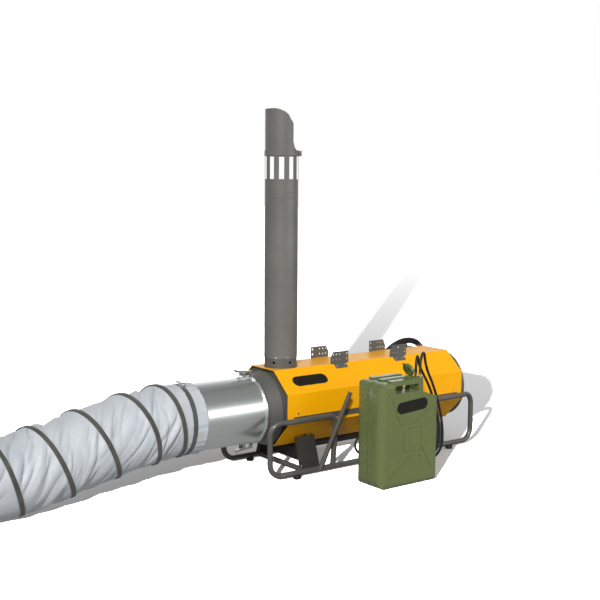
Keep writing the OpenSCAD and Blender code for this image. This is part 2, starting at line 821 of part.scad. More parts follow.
module latch_lever_bottom() color(zinc) at_heater() on_rim(180) latch_lever();

// Air duct, a fabric hose on a spiral strip

cuff_x = adapter_end + cuff_overlap;
fabric_wall = 3;
duct_sides = 24;
cuff_r = (adapter_d / 2 + side_gap) / cos(180 / duct_sides) + fabric_wall;
duct_r = duct_d / 2;
strip_wide = 19;
strip_thick = 5;
strip_gap = 0.8;
floor_gap = 0.3;
drop_start = 95;
drop_run = 850;
cuff_long = 90;
cuff_flare = 80;
knee_turn = 0.75;
knee_u = 247;
first_pitch = 130;
spiral_start = 92;
duct_length = duct_stretched + duct_packed_turns * duct_packed_pitch;
duct_rest = duct_r + strip_gap + strip_thick + floor_gap;

// Height of the duct's middle line at distance u from its cuff edge, and its slope there
function duct_z(u) = axis_height - (axis_height - duct_rest) * smooth((u - drop_start) / drop_run);
function duct_slope(u) = (duct_z(u + overrun) - duct_z(u - overrun)) / (2 * overrun);
function fabric_r(u) = cuff_r + (duct_r - cuff_r) * smooth((u - cuff_long) / cuff_flare);

// A point of the duct at distance u, angle a from the top towards the near side, and radius r
function duct_point(u, a, r) = let (up = unit([duct_slope(u), 0, 1]))
  [cuff_x - u, 0, duct_z(u)] + r * (cos(a) * up - sin(a) * [0, 1, 0]);

flare_rings = 4;
stretched_rings = 20;
packed_rings = 3;
duct_stations = concat(
  [0, cuff_long],
  [for (i = [1:flare_rings - 1]) cuff_long + i * cuff_flare / flare_rings],
  [for (i = [0:stretched_rings]) cuff_long + cuff_flare
    + i * (duct_stretched - cuff_long - cuff_flare) / stretched_rings],
  [for (i = [1:packed_rings]) duct_stretched + i * (duct_length - duct_stretched) / packed_rings]);

module duct_fabric() color(fabric_grey) at_heater() hollow_loft(
  [for (u = duct_stations) [for (j = [0:duct_sides - 1]) duct_point(u, 360 * j / duct_sides, fabric_r(u))]],
  [for (u = duct_stations) [for (j = [0:duct_sides - 1])
    duct_point(u, 360 * j / duct_sides, fabric_r(u) - fabric_wall)]]);

// Turns of the spiral are counted from its first crossing of the duct's top
spiral_steps = duct_sides;
stretched_turns = knee_turn + (duct_stretched - knee_u) / duct_pitch;
start_turns = round((knee_turn + (spiral_start - knee_u) / first_pitch) * spiral_steps) / spiral_steps;
end_turns = stretched_turns + duct_packed_turns - strip_wide / duct_packed_pitch;
function spiral_u(n) = n < stretched_turns
  ? knee_u + (n - knee_turn) * (n < knee_turn ? first_pitch : duct_pitch)
  : duct_stretched + (n - stretched_turns) * duct_packed_pitch;
spiral_rings = floor((end_turns - start_turns) * spiral_steps);

module duct_spiral() color(strip_brown) at_heater() loft([
  for (i = [0:spiral_rings])
  let (
    n = start_turns + i * (end_turns - start_turns) / spiral_rings,
    u = spiral_u(n),
    a = -360 * n,
    low = fabric_r(u + strip_wide / 2) + strip_gap,
    high = low + strip_thick)
  [
    duct_point(u - strip_wide / 2, a, low),
    duct_point(u - strip_wide / 2, a, high),
    duct_point(u + strip_wide / 2, a, high),
    duct_point(u + strip_wide / 2, a, low)]]);

strap_u = 62;
strap_wide = 23;
strap_thick = 2;
strap_turn = 14;
buckle_wide = 26;
buckle_long = 44;
buckle_high = 16;

module duct_strap() color(strip_brown) at_heater() {
  on_axis(cuff_x - strap_u - strap_wide / 2) tube(2 * (cuff_r + side_gap + strap_thick), strap_thick, strap_wide);
  on_rim(strap_turn) translate([cuff_x - strap_u, 0, cuff_r + side_gap + strap_thick / 2]) difference() {
    union() {
      for (side = [-1, 1])
        translate([side * (buckle_wide - ear_thick) / 2 - ear_thick / 2, -ear_long / 2, 0])
          cube([ear_thick, ear_long, buckle_high]);
      translate([-buckle_wide / 2, 0, buckle_high - pin_d]) rotate([0, 90, 0])
        cylinder(d = pin_d, h = buckle_wide);
    }
    on_axis_buckle();
  }
}

// The cuff's own round space, seen from the buckle
module on_axis_buckle() translate([-buckle_wide, 0, -cuff_r - side_gap - strap_thick / 2]) rotate([0, 90, 0])
  cylinder(r = cuff_r + side_gap + strap_thick / 2, h = 2 * buckle_wide, $fn = 240);

strap_lever_wide = buckle_wide - 2 * ear_thick - 2;
strap_lever_thick = 4;
strap_lever_lift = 1.5;

module strap_lever() color(zinc) at_heater() on_rim(strap_turn)
  translate([cuff_x - strap_u, 0, cuff_r + side_gap + strap_thick / 2 + buckle_high - pin_d]) difference() {
    union() {
      translate([-strap_lever_wide / 2, 0, 0]) rotate([0, 90, 0])
        cylinder(d = pin_d + 2 * strap_lever_thick, h = strap_lever_wide);
      rotate([-strap_lever_lean, 0, 0]) translate([strap_lever_lift - strap_lever_wide / 2, 0, strap_lever_lift])
        cube([strap_lever_wide - 2 * strap_lever_lift, buckle_long, strap_lever_thick]);
    }
    translate([-buckle_wide, 0, 0]) rotate([0, 90, 0])
      cylinder(d = pin_d + 2 * fit_gap, h = 2 * buckle_wide);
  }

strap_lever_lean = 8;

// Controls on the far side

box_wall = 2.5;
box_low = seam_height + 6;
box_face = casing_width / 2 + box_depth;
box_y = casing_width / 2;
knob_d = 38;
knob_x = -66;
shaft_d = 6;
button_d = 14;
button_x = -8;
button_high = 8;
button_travel = 3;
lamp_d = 12;
lamp_x = 24;
lamp_high = 6;
socket_d = 40;
socket_x = 72;
socket_high = 8;
control_z = box_low + box_height / 2;

module control_box() color(dark_grey) at_heater() translate([box_x - box_length / 2, box_y, box_low]) difference() {
  cube([box_length, box_depth, box_height]);
  translate([box_wall, box_wall, box_wall])
    cube([box_length - 2 * box_wall, box_depth, box_height - 2 * box_wall]);
  translate([box_length - box_wall - overrun, box_depth / 2, box_height / 2]) rotate([0, 90, 0])
    cylinder(d = gland_thread, h = box_wall + 2 * overrun);
}

module on_panel(x) translate([box_x + x, box_face, control_z]) rotate([-90, 0, 0]) children();

module control_lid() color(frame_grey) at_heater() difference() {
  translate([box_x - box_length / 2, box_face, box_low]) cube([box_length, lid_thick, box_height]);
  on_panel(knob_x) translate([0, 0, -overrun]) cylinder(d = shaft_d + 2 * fit_gap, h = lid_thick + 2 * overrun);
  on_panel(button_x) translate([0, 0, -overrun]) cylinder(d = button_d + 2 * fit_gap, h = lid_thick + 2 * overrun);
  on_panel(lamp_x) translate([0, 0, -overrun]) cylinder(d = lamp_d, h = lid_thick + 2 * overrun);
  on_panel(socket_x) translate([0, 0, -overrun]) cylinder(d = socket_d - 2 * box_wall, h = lid_thick + 2 * overrun);
}

knob_grip = 8;
knob_lift = 1;

module switch_knob() color(black) at_heater() on_panel(knob_x) {
  translate([0, 0, lid_thick + knob_lift]) cylinder(d = knob_d, h = knob_high / 2 - knob_lift);
  translate([-knob_d / 2, -knob_grip / 2, lid_thick + knob_high / 2]) intersection() {
    cube([knob_d, knob_grip, knob_high / 2]);
    translate([knob_d / 2, knob_grip / 2, 0]) cylinder(d = knob_d, h = knob_high / 2);
  }
  translate([0, 0, -knob_high / 2]) cylinder(d = shaft_d, h = lid_thick + knob_high);
}

module reset_button() color("#a02018") at_heater() on_panel(button_x) {
  translate([0, 0, -button_travel]) cylinder(d = button_d, h = lid_thick + button_travel + button_high);
  translate([0, 0, -button_travel - side_gap]) cylinder(d = button_d + 2 * button_travel, h = button_travel);
}

module pilot_lamp() color("#2f8f3a") at_heater() on_panel(lamp_x) {
  translate([0, 0, -lamp_high]) cylinder(d = lamp_d, h = lid_thick + lamp_high);
  translate([0, 0, lid_thick]) cylinder(d1 = lamp_d + 4 * knob_lift, d2 = lamp_d, h = lamp_high);
}

hinge_d = 4;
hinge_lift = 5;
hinge_up = 6;

module thermostat_socket() color(black) at_heater() on_panel(socket_x) {
  difference() {
    union() {
      translate([0, 0, lid_thick]) cylinder(d = socket_d, h = socket_high);
      translate([0, 0, -socket_d / 2]) cylinder(d = socket_d - 2 * box_wall, h = socket_d / 2 + lid_thick);
      translate([-socket_d / 2, -socket_d / 2 - hinge_up, lid_thick])
        cube([socket_d, socket_d / 2, socket_high / 2]);
      for (side = [-1, 1])
        translate([side * (socket_d - ear_thick) / 2 - ear_thick / 2, -socket_d / 2 - hinge_up, lid_thick])
          cube([ear_thick, hinge_up, socket_high + hinge_lift]);
      translate([-socket_d / 2, -socket_d / 2 - hinge_up / 2, lid_thick + socket_high + hinge_lift / 2])
        rotate([0, 90, 0]) cylinder(d = hinge_d, h = socket_d);
    }
    translate([0, 0, -socket_d / 4]) cylinder(d = socket_d - 4 * box_wall, h = 2 * socket_d);
  }
}

flap_thick = 3;

module socket_flap() color(black) at_heater() on_panel(socket_x) difference() {
  union() {
    translate([0, 0, lid_thick + socket_high + side_gap]) cylinder(d = socket_d, h = flap_thick);
    translate([-flap_wide / 2, -socket_d / 2 - hinge_up / 2, lid_thick + socket_high + side_gap])
      cube([flap_wide, socket_d / 2, flap_thick]);
    translate([-flap_wide / 2, -socket_d / 2 - hinge_up / 2, lid_thick + socket_high + hinge_lift / 2])
      rotate([0, 90, 0]) cylinder(d = hinge_d + 2 * box_wall, h = flap_wide);
  }
  translate([-socket_d, -socket_d / 2 - hinge_up / 2, lid_thick + socket_high + hinge_lift / 2])
    rotate([0, 90, 0]) cylinder(d = hinge_d + 2 * fit_gap, h = 2 * socket_d);
  translate([-socket_d, -socket_d, lid_thick]) cube([2 * socket_d, 2 * socket_d, socket_high]);
}

flap_wide = socket_d - 2 * ear_thick - 1;

gland_thread = 16;
gland_d = 24;
gland_long = 16;
gland_nut = 6;
gland_x = box_x + box_length / 2;

module cable_gland() color(black) at_heater()
  translate([gland_x, box_y + box_depth / 2, control_z]) rotate([0, 90, 0]) difference() {
    union() {
      translate([0, 0, -box_wall - gland_nut]) cylinder(d = gland_thread, h = box_wall + gland_nut);
      cylinder(d = gland_d, h = gland_nut, $fn = 6);
      translate([0, 0, gland_nut]) cylinder(d1 = gland_d - box_wall, d2 = cable_d + 2 * box_wall, h = gland_long);
    }
    translate([0, 0, -gland_d]) cylinder(d = cable_d - gland_grip, h = gland_d + gland_nut + gland_long - cable_seat);
    translate([0, 0, gland_nut + gland_long - cable_seat]) cylinder(d = cable_d + 2 * side_gap, h = gland_d);
  }

gland_grip = 1;
cable_seat = 4;

// Power cable: a short free run, the coil on its hook and a tail with the plug

coil_x = 510;
coil_y = 232;
coil_z = 335;
coil_lean = 18;
coil_r = 180;
coil_step = cable_d + 0.8 * cable_d / 9;
coil_ring_steps = 24;
coil_rings = coil_turns * coil_ring_steps;

function coil_radius(n) = coil_r - coil_step * (coil_turns / 2 - abs(n - coil_turns / 2));
function coil_layer(n) = coil_step * (smooth(2 * (n - coil_turns / 2) + 0.5) - 0.5);
function coil_spot(n) = let (
  up = [0, -sin(coil_lean), cos(coil_lean)],
  out = [0, cos(coil_lean), sin(coil_lean)],
  a = 360 * n - 90)
  [coil_x, coil_y, coil_z] + coil_radius(n) * (sin(a) * [1, 0, 0] + cos(a) * up) + coil_layer(n) * out;

coil_line = [for (i = [0:coil_rings]) coil_spot(i / coil_ring_steps)];
coil_up = [0, -sin(coil_lean), cos(coil_lean)];
coil_path = concat(
  [coil_line[0] - coil_up * cable_d],
  coil_line,
  [coil_line[coil_rings] - coil_up * cable_d]);
coil_gap = min([for (i = [0:coil_rings - coil_ring_steps / 2], j = [i + coil_ring_steps / 2:coil_rings])
  norm(coil_line[i] - coil_line[j])]) - cable_d;
echo(least_coil_gap = coil_gap);

module cable_coil() color(black) at_heater() cord(coil_path, cable_d, 6);

plug_x = 672;

// The free run from the gland to the coil and the tail down to the plug, chosen by hand
cable_run = [[150, 229, 333], [170, 230, 333], [190, 232, 328], [212, 234, 316], [236, 236, 300],
  [262, 237, 288], [288, 238, 284], [314, 236, 296]];
cable_tail = [[689, 234, 297], [687, 236, 276], [683, 238, 250], [678, 240, 222], [674, 241, 192],
  [plug_x, 241, 165]];
cable_steps = 2;
run_start = [gland_x + gland_nut + gland_long - cable_seat, box_y + box_depth / 2, control_z];
coil_in = coil_path[0];
coil_out = coil_path[len(coil_path) - 1];

module power_cable() color(black) at_heater() {
  cord(route(concat([run_start], cable_run, [coil_in - coil_up * cable_d / 2, coil_in]), cable_steps), cable_d, 8);
  cord(route(concat([coil_out, coil_out - coil_up * cable_d / 2], cable_tail), cable_steps), cable_d, 8);
}

plug_long = 34;
plug_d = 38;
plug_neck = 30;
plug_pin_d = 4.8;
plug_pin_long = 19;
plug_pin_gap = 19;
plug_at = cable_tail[len(cable_tail) - 1];

module power_plug() color(black) at_heater() translate(plug_at) rotate([180, 0, 0]) {
  cylinder(d1 = cable_d + box_wall, d2 = plug_d - box_wall, h = plug_neck);
  translate([0, 0, plug_neck]) cylinder(d = plug_d, h = plug_long);
  for (side = [-1, 1])
    translate([side * plug_pin_gap / 2, 0, plug_neck + plug_long]) cylinder(d = plug_pin_d, h = plug_pin_long);
}

hook_wide = 40;
hook_thick = 4;
hook_lip = 24;
hook_root_y = 150;
hook_reach_y = 196;
hook_z = coil_z + (coil_r - coil_step * (coil_turns + 2) / 2) * cos(coil_lean) - 6;

// A bent flat hook on the far slanted face, under the top of the coil
module cable_hook() color(dark_grey) at_heater() difference() {
  slab_x(coil_x - hook_wide / 2, hook_wide) polygon([
    [hook_root_y, casing_top - upper_slope],
    [hook_root_y + hook_thick, casing_top - upper_slope],
    [hook_root_y + hook_thick, hook_z - hook_thick],
    [hook_reach_y + hook_thick, hook_z - hook_thick],
    [hook_reach_y + hook_thick, hook_z + hook_lip],
    [hook_reach_y, hook_z + hook_lip],
    [hook_reach_y, hook_z],
    [hook_root_y, hook_z]]);
  casing_block();
}

// Inside the casing

chamber_d = 170;
chamber_long = 350;
chamber_x = -420;
chamber_rear = chamber_x + chamber_long;
blast_d = 90;
support_wide = 20;
support_thick = 4;
support_r = shell_d / 2 - sheet - side_gap;

module spider(inner_r, turn) for (a = [0:120:240])
  rotate([0, 0, a + turn]) translate([inner_r, -support_wide / 2, 0])
    cube([support_r - inner_r - support_edge, support_wide, support_thick]);

// A flat bar's corner reaches the round shell before its middle does
support_edge = support_r - sqrt(support_r * support_r - support_wide * support_wide / 4);

module combustion_chamber() color(steel) at_heater() on_axis(chamber_x) {
  difference() {
    union() {
      cylinder(d = chamber_d, h = chamber_long);
      translate([0, 0, chamber_long - 3 * support_thick]) spider(chamber_d / 4, 60);
    }
    translate([0, 0, sheet]) cylinder(d = chamber_d - 2 * sheet, h = chamber_long - 2 * sheet);
    translate([0, 0, chamber_long - sheet - overrun]) cylinder(d = blast_d, h = sheet + 2 * overrun);
  }
}

drum_out_d = 268;
drum_in_d = 200;
drum_front = -500;
drum_long = 400;
transfer_d = 50;

// An annular drum round the chamber, with its flue stub and three transfer ports
module heat_exchanger() color(steel) at_heater() difference() {
  union() {
    on_axis(drum_front) difference() {
      cylinder(d = drum_out_d, h = drum_long);
      translate([0, 0, -overrun]) cylinder(d = drum_in_d, h = drum_long + 2 * overrun);
    }
    translate([flue_x, 0, axis_height + drum_in_d / 2 + sheet])
      cylinder(d = stub_d, h = casing_top - axis_height - drum_in_d / 2);
    on_axis(drum_front + support_thick) spider(drum_out_d / 2 - sheet / 2, 60);
    on_axis(drum_front + drum_long - 3 * support_thick) spider(drum_out_d / 2 - sheet / 2, 0);
    for (a = [60:120:300])
      on_axis(transfer_x) rotate([0, 90, a])
        translate([0, 0, chamber_d / 2 + side_gap])
          cylinder(d = transfer_d, h = (drum_in_d - chamber_d) / 2 + 2 * sheet);
  }
  on_axis(drum_front + sheet) difference() {
    cylinder(d = drum_out_d - 2 * sheet, h = drum_long - 2 * sheet);
    translate([0, 0, -overrun]) cylinder(d = drum_in_d + 2 * sheet, h = drum_long);
  }
  translate([flue_x, 0, axis_height + drum_in_d / 2 + 2 * sheet]) cylinder(d = stub_d - 2 * sheet, h = casing_top);
  for (a = [60:120:300])
    on_axis(transfer_x) rotate([0, 90, a])
      translate([0, 0, chamber_d / 2])
        cylinder(d = transfer_d - 2 * sheet, h = (drum_in_d - chamber_d) / 2 + 4 * sheet);
}

transfer_x = -330;
stub_d = collar_d - 2 * sheet - 2 * side_gap;

// Fan and its motor behind the rear guard
motor_d = 92;
motor_long = 96;
motor_x = 372;
fan_d = 300;
hub_d = 76;
hub_long = 44;
hub_gap = 8;
blade_count = 6;
blade_wide = 62;
blade_thick = 3;
blade_pitch = 32;
fan_shaft_d = 12;
fan_shaft_in = 50;

module fan_motor() color(dark_grey) at_heater() on_axis(motor_x) difference() {
  union() {
    cylinder(d = motor_d, h = motor_long);
    translate([0, 0, motor_long / 2]) spider(motor_d / 2 - sheet, 0);
  }
  translate([0, 0, motor_long - fan_shaft_in]) cylinder(d = fan_shaft_d + 2 * fit_gap, h = fan_shaft_in + overrun);
}

module fan_impeller() color(black) at_heater() on_axis(motor_x + motor_long + hub_gap) {
  cylinder(d = hub_d, h = hub_long);
  translate([0, 0, side_gap - fan_shaft_in - hub_gap]) cylinder(d = fan_shaft_d, h = fan_shaft_in + hub_gap + side_gap);
  intersection() {
    cylinder(d = fan_d, h = hub_long);
    for (i = [0:blade_count - 1])
      rotate([0, 0, i * 360 / blade_count]) translate([hub_d / 2 - blade_thick, 0, hub_long / 2])
        rotate([blade_pitch, 0, 0]) translate([0, -blade_wide / 2, -blade_thick / 2])
        cube([fan_d / 2, blade_wide, blade_thick]);
  }
}

// Oil burner: motor, wheel and pump on one shaft across the heater
housing_d = 156;
housing_wall = 2;
wheel_d = 126;
wheel_long = 50;
wheel_blades = 24;
wheel_blade_deep = 12;
wheel_shaft_d = 8;
shaft_boss_d = 24;
burner_motor_d = 96;
burner_motor_long = 78;

// Children's Z axis laid across the heater through the burner, pointing to the far side
module on_burner(y) translate([burner_x, y, axis_height]) rotate([-90, 0, 0]) children();

module burner_housing() color(steel) at_heater() difference() {
  union() {
    on_burner(-burner_half) cylinder(d = housing_d, h = 2 * burner_half);
    on_axis(chamber_rear) cylinder(d = blast_d - 2 * side_gap, h = burner_x - chamber_rear);
    on_axis(chamber_rear) cylinder(d = blast_d + 2 * support_wide, h = support_thick);
  }
  on_burner(housing_wall - burner_half) cylinder(d = housing_d - 2 * housing_wall, h = 2 * burner_half - 2 * housing_wall);
  on_axis(chamber_rear - overrun) cylinder(d = blast_d - 2 * side_gap - 2 * housing_wall, h = burner_x - chamber_rear);
  on_burner(-burner_half - overrun) cylinder(d = shaft_boss_d, h = 2 * burner_half + 2 * overrun);
  for (a = [0:60:300])
    on_burner(-burner_half - overrun) rotate([0, 0, a]) translate([intake_r, 0, 0])
      cylinder(d = intake_hole_d, h = housing_wall + 2 * overrun);
}

intake_r = 52;
intake_hole_d = 22;
shutter_thick = 2;
shutter_d = 140;

module air_shutter() color(zinc) at_heater() on_burner(-burner_half - side_gap - shutter_thick) difference() {
  union() {
    cylinder(d = shutter_d, h = shutter_thick);
    translate([0, -support_wide / 4, 0]) cube([shutter_d / 2 + support_wide / 2, support_wide / 2, shutter_thick]);
  }
  translate([0, 0, -overrun]) cylinder(d = pump_boss_d + 2 * fit_gap, h = shutter_thick + 2 * overrun);
  for (a = [0:60:300])
    rotate([0, 0, a]) translate([intake_r, 0, -overrun]) cylinder(d = intake_hole_d, h = shutter_thick + 2 * overrun);
}

pump_boss_d = 64;
pump_flange = 6;

module fuel_pump() color(zinc) at_heater() difference() {
  union() {
    on_burner(-burner_half) translate([0, 0, -pump_flange]) cylinder(d = pump_boss_d, h = pump_flange);
    translate([burner_x - pump_side / 2, -burner_half - pump_flange - pump_long + pump_flange, axis_height - pump_side / 2])
      cube([pump_side, pump_long - pump_flange, pump_side]);
    for (side = [-1, 1])
      translate([burner_x + side * port_gap / 2, pump_y, axis_height - pump_side / 2 - port_stub])
        cylinder(d = hose_d + port_clear / 2, h = port_stub);
  }
  on_burner(-burner_half - pump_long / 2) cylinder(d = wheel_shaft_d + 2 * fit_gap, h = burner_half);
  for (side = [-1, 1])
    translate([burner_x + side * port_gap / 2, pump_y, axis_height - pump_side / 2 - port_stub - overrun])
      cylinder(d = hose_d - 2 * gland_grip, h = port_stub + pump_flange + overrun);
}

port_stub = 14;

module burner_motor() color(dark_grey) at_heater() difference() {
  union() {
    on_burner(burner_half) cylinder(d = burner_motor_d, h = burner_motor_long);
    on_burner(burner_half - housing_wall) cylinder(d = shaft_boss_d, h = housing_wall);
  }
  on_burner(burner_half - housing_wall - overrun) cylinder(d = wheel_shaft_d + 2 * fit_gap, h = burner_motor_long / 2);
}

module burner_wheel() color(steel) at_heater() {
  on_burner(-wheel_long / 2) {
    cylinder(d = wheel_d, h = housing_wall);
    cylinder(d = shaft_boss_d, h = wheel_long / 2);
    translate([0, 0, wheel_long - housing_wall]) tube(wheel_d, wheel_blade_deep, housing_wall);
    for (i = [0:wheel_blades - 1])
      rotate([0, 0, i * 360 / wheel_blades]) translate([wheel_d / 2 - wheel_blade_deep + overrun, 0, 0])
        rotate([0, 0, 30]) cube([wheel_blade_deep - 2 * housing_wall, housing_wall / 2, wheel_long - overrun]);
  }
  on_burner(-burner_half - pump_long / 2 + side_gap)
    cylinder(d = wheel_shaft_d, h = 2 * burner_half + pump_long / 2 + burner_motor_long / 4);
}

transformer_long = 80;
transformer_wide = 56;
transformer_high = 44;

module ignition_transformer() color(black) at_heater() difference() {
  translate([burner_x - transformer_long / 2, -transformer_wide / 2, axis_height + housing_d / 2 - transformer_high / 3])
    cube([transformer_long, transformer_wide, transformer_high]);
  on_burner(-burner_half - overrun) cylinder(d = housing_d, h = 2 * burner_half + 2 * overrun);
}

nozzle_tube_d = 10;
nozzle_long = 68;
nozzle_d = 18;
electrode_d = 3;
nozzle_plate_d = blast_d - 2 * side_gap - 2 * housing_wall;

module burner_nozzle() color(brass) at_heater() on_axis(chamber_rear) {
  cylinder(d1 = nozzle_tube_d, d2 = nozzle_d, h = nozzle_tube_d);
  cylinder(d = nozzle_tube_d, h = nozzle_long);
  translate([0, 0, nozzle_long / 2]) difference() {
    cylinder(d = nozzle_plate_d - 2 * side_gap, h = housing_wall);
    for (a = [0:60:300])
      rotate([0, 0, a]) translate([nozzle_plate_d / 3, 0, -overrun])
        cylinder(d = nozzle_plate_d / 5, h = housing_wall + 2 * overrun);
  }
  for (side = [-1, 1])
    translate([0, side * nozzle_d, 0]) cylinder(d = electrode_d, h = nozzle_long / 2 + housing_wall);
}

// Fuel can with its cap thrown open

can_wall = 1.2;
can_edge_r = 34;
can_side_r = 28;
// Side view of the can in shares of its length and height, anticlockwise from the lower left
can_shares = [[0, 0], [1, 0], [1, 0.80], [0.65, 0.885], [0.24, 0.885], [0.21, 0.985], [0, 0.985]];
can_radii = [48, 48, 26, 12, 12, 14, 40];
seam_wide = 7;
seam_deep = 4;
handle_share = 0.19;
handle_end_share = 0.655;
handle_high = 22;
handle_wide = 30;
handle_edge_r = 8;
neck_share = 0.83;
can_neck_d = 48;
can_neck_wall = 3;
can_neck_top = 455;
can_left = can_x - can_length / 2;
neck_x = can_left + neck_share * can_length;

function can_outline(depth) = let (
  corners = [for (s = can_shares) [s.x * can_length, s.y * can_height]])
  [for (p = rounded(corners, can_radii)) [
    depth + p.x * (can_length - 2 * depth) / can_length,
    depth + p.y * (can_height - 2 * depth) / can_height]];

// Pressed lines on the wide faces, in shares of the can's length and height
press_lines = [
  [[0.18, 0.84], [0.235, 0.735], [0.33, 0.58], [0.545, 0.58], [0.87, 0.725]],
  [[0.385, 0.54], [0.675, 0.54], [0.675, 0.32], [0.385, 0.32], [0.385, 0.54]],
  [[0.15, 0.115], [0.48, 0.27], [0.67, 0.27]],
  [[0.70, 0.345], [0.845, 0.15]]];
press_wide = 7;
press_deep = 2.5;

module press_cuts() for (side = [-1, 1])
  slab_y(side * can_width / 2 - press_deep, 2 * press_deep)
  for (line = press_lines, i = [1:len(line) - 1]) {
    a = [line[i - 1].x * can_length, line[i - 1].y * can_height];
    b = [line[i].x * can_length, line[i].y * can_height];
    translate(a) rotate(atan2(b.y - a.y, b.x - a.x)) translate([-press_wide / 2, -press_wide / 2])
      square([norm(b - a) + press_wide, press_wide]);
  }

// The can's outer form, made smaller by depth all round
module can_form(depth) intersection() {
  slab_y(-can_width / 2 + depth, can_width - 2 * depth) polygon(can_outline(depth));
  linear_extrude(can_height) polygon(rounded([
    [depth, depth - can_width / 2],
    [can_length - depth, depth - can_width / 2],
    [can_length - depth, can_width / 2 - depth],
    [depth, can_width / 2 - depth]],
    [for (i = [0:3]) can_edge_r - depth]));
  slab_x(0, can_length) polygon(rounded([
    [depth - can_width / 2, depth],
    [can_width / 2 - depth, depth],
    [can_width / 2 - depth, can_height],
    [depth - can_width / 2, can_height]],
    [can_side_r, can_side_r, can_side_r, can_side_r]));
}

module can_body() color(olive) at_heater() translate([can_left, can_y, 0]) difference() {
  union() {
    difference() {
      can_form(0);
      difference() {
        slab_y(-seam_wide / 2, seam_wide) translate([-overrun, -overrun])
          square([can_length + 2 * overrun, can_height + overrun]);
        slab_y(-seam_wide, 2 * seam_wide) polygon(can_outline(seam_deep));
      }
    }
    for (row = [-1:1])
      translate([0, row * (can_width - handle_wide - 2 * handle_edge_r) / 2, 0]) slab_y(-handle_wide / 2, handle_wide)
        difference() {
          polygon(rounded([
            [handle_share * can_length, can_height - handle_high],
            [handle_end_share * can_length, can_height * 0.885 - handle_edge_r],
            [(handle_end_share + 0.04) * can_length, can_height * 0.875 - handle_edge_r],
            [(handle_end_share + 0.02) * can_length, can_height],
            [handle_share * can_length, can_height]],
            [0, 0, 0, handle_edge_r, 0]));
          polygon([
            [handle_share * can_length - overrun, can_height - handle_high - overrun],
            [handle_share * can_length - overrun, can_height * 0.5],
            [(handle_end_share - 0.005) * can_length, can_height * 0.5],
            [(handle_end_share - 0.005) * can_length, can_height - handle_high - overrun]]);
        }
    translate([neck_share * can_length, 0, can_height * 0.8])
      cylinder(d = can_neck_d, h = can_neck_top - can_height * 0.8);
    translate([neck_share * can_length - cap_hinge_out, 0, can_neck_top + cap_hinge_lift]) {
      for (side = [-1, 1])
        slab_y(side * (cap_arm_wide + cap_ear) / 2 + side * side_gap - cap_ear / 2, cap_ear) polygon([
          [-cap_pin_d, -cap_ear_long],
          [cap_hinge_out - can_neck_d / 2 + can_neck_wall / 2, -cap_ear_long],
          [cap_hinge_out - can_neck_d / 2 + can_neck_wall / 2, -cap_hinge_lift],
          [cap_pin_d, cap_pin_d],
          [-cap_pin_d, cap_pin_d]]);
      rotate([90, 0, 0]) cylinder(d = cap_pin_d, h = cap_arm_wide + 2 * side_gap + 2 * cap_ear, center = true);
    }
  }
  can_form(seam_deep + can_wall);
  press_cuts();
  translate([neck_share * can_length, 0, can_height / 2])
    cylinder(d = can_neck_d - 2 * can_neck_wall, h = can_height);
}

lance_head_d = 46;
lance_head_high = 8;
lance_pipe_d = 9;
lance_gap = 26;
lance_low = 30;
lance_barb = 12;
strainer_d = 15;
strainer_long = 26;

// Tank fitting: a stopper in the neck, two pipes down into the fuel and two hose tails
module fuel_lance() color(brass) at_heater() translate([neck_x, can_y, 0]) {
  translate([0, 0, can_neck_top - can_neck_wall])
    cylinder(d = can_neck_d - 2 * can_neck_wall - 2 * side_gap, h = can_neck_wall + lance_head_high / 2);
  translate([0, 0, can_neck_top + side_gap]) cylinder(d = lance_head_d, h = lance_head_high, $fn = 6);
  for (side = [-1, 1])
    translate([side * lance_gap / 2, 0, 0]) {
      translate([0, 0, lance_low]) cylinder(d = lance_pipe_d, h = can_neck_top - lance_low);
      translate([0, 0, can_neck_top + lance_head_high]) cylinder(d = hose_d + 2 * gland_grip, h = lance_barb);
    }
  translate([-lance_gap / 2, 0, lance_low - strainer_long / 2]) cylinder(d = strainer_d, h = strainer_long);
}

// Fuel hoses, their points chosen by hand from the can's neck to the pump
hose_top_z = can_neck_top + lance_head_high + lance_barb;
suction_points = [[-38, -480, 500], [-36, -479, 520], [-26, -471, 537], [-8, -456, 544], [10, -440, 538],
  [28, -424, 520], [50, -410, 490], [80, -402, 450], [116, -397, 400], [146, -394, 345], [173, -391, 285],
  [193, -388, 225], [206, -384, 165], [210, -378, 110], [202, -366, 62], [180, -340, 30], [150, -300, 12],
  [128, -250, 7], [112, -200, 7], [86, -150, 7], [54, -110, 7], [16, -82, 10], [-16, -66, 26], [-30, -60, 54],
  [-20, -58, 84], [8, -58, 108], [38, -60, 122]];
return_points = [[-12, -480, 500], [-10, -479, 522], [2, -472, 544], [22, -459, 556], [44, -445, 550],
  [62, -430, 528], [82, -416, 498], [107, -406, 455], [139, -400, 405], [168, -395, 350], [195, -390, 290],
  [216, -387, 225], [230, -383, 160], [235, -376, 100], [226, -362, 52], [204, -334, 20], [172, -290, 8],
  [152, -240, 7], [138, -190, 7], [124, -148, 7], [108, -114, 12], [95, -88, 32], [87, -70, 62], [84, -62, 96]];
hose_steps = 2;

function hose_route(side, points) = concat(
  [[neck_x + side * lance_gap / 2, can_y, hose_top_z]],
  points,
  [[burner_x + side * port_gap / 2, pump_y, casing_bottom]],
  [[burner_x + side * port_gap / 2, pump_y, (casing_bottom + axis_height - pump_side / 2 - port_stub) / 2]],
  [[burner_x + side * port_gap / 2, pump_y, axis_height - pump_side / 2 - port_stub]]);

module suction_hose() color(black) at_heater() cord(route(hose_route(-1, suction_points), hose_steps), hose_d, 8);

module return_hose() color(black) at_heater() cord(route(hose_route(1, return_points), hose_steps), hose_d, 8);

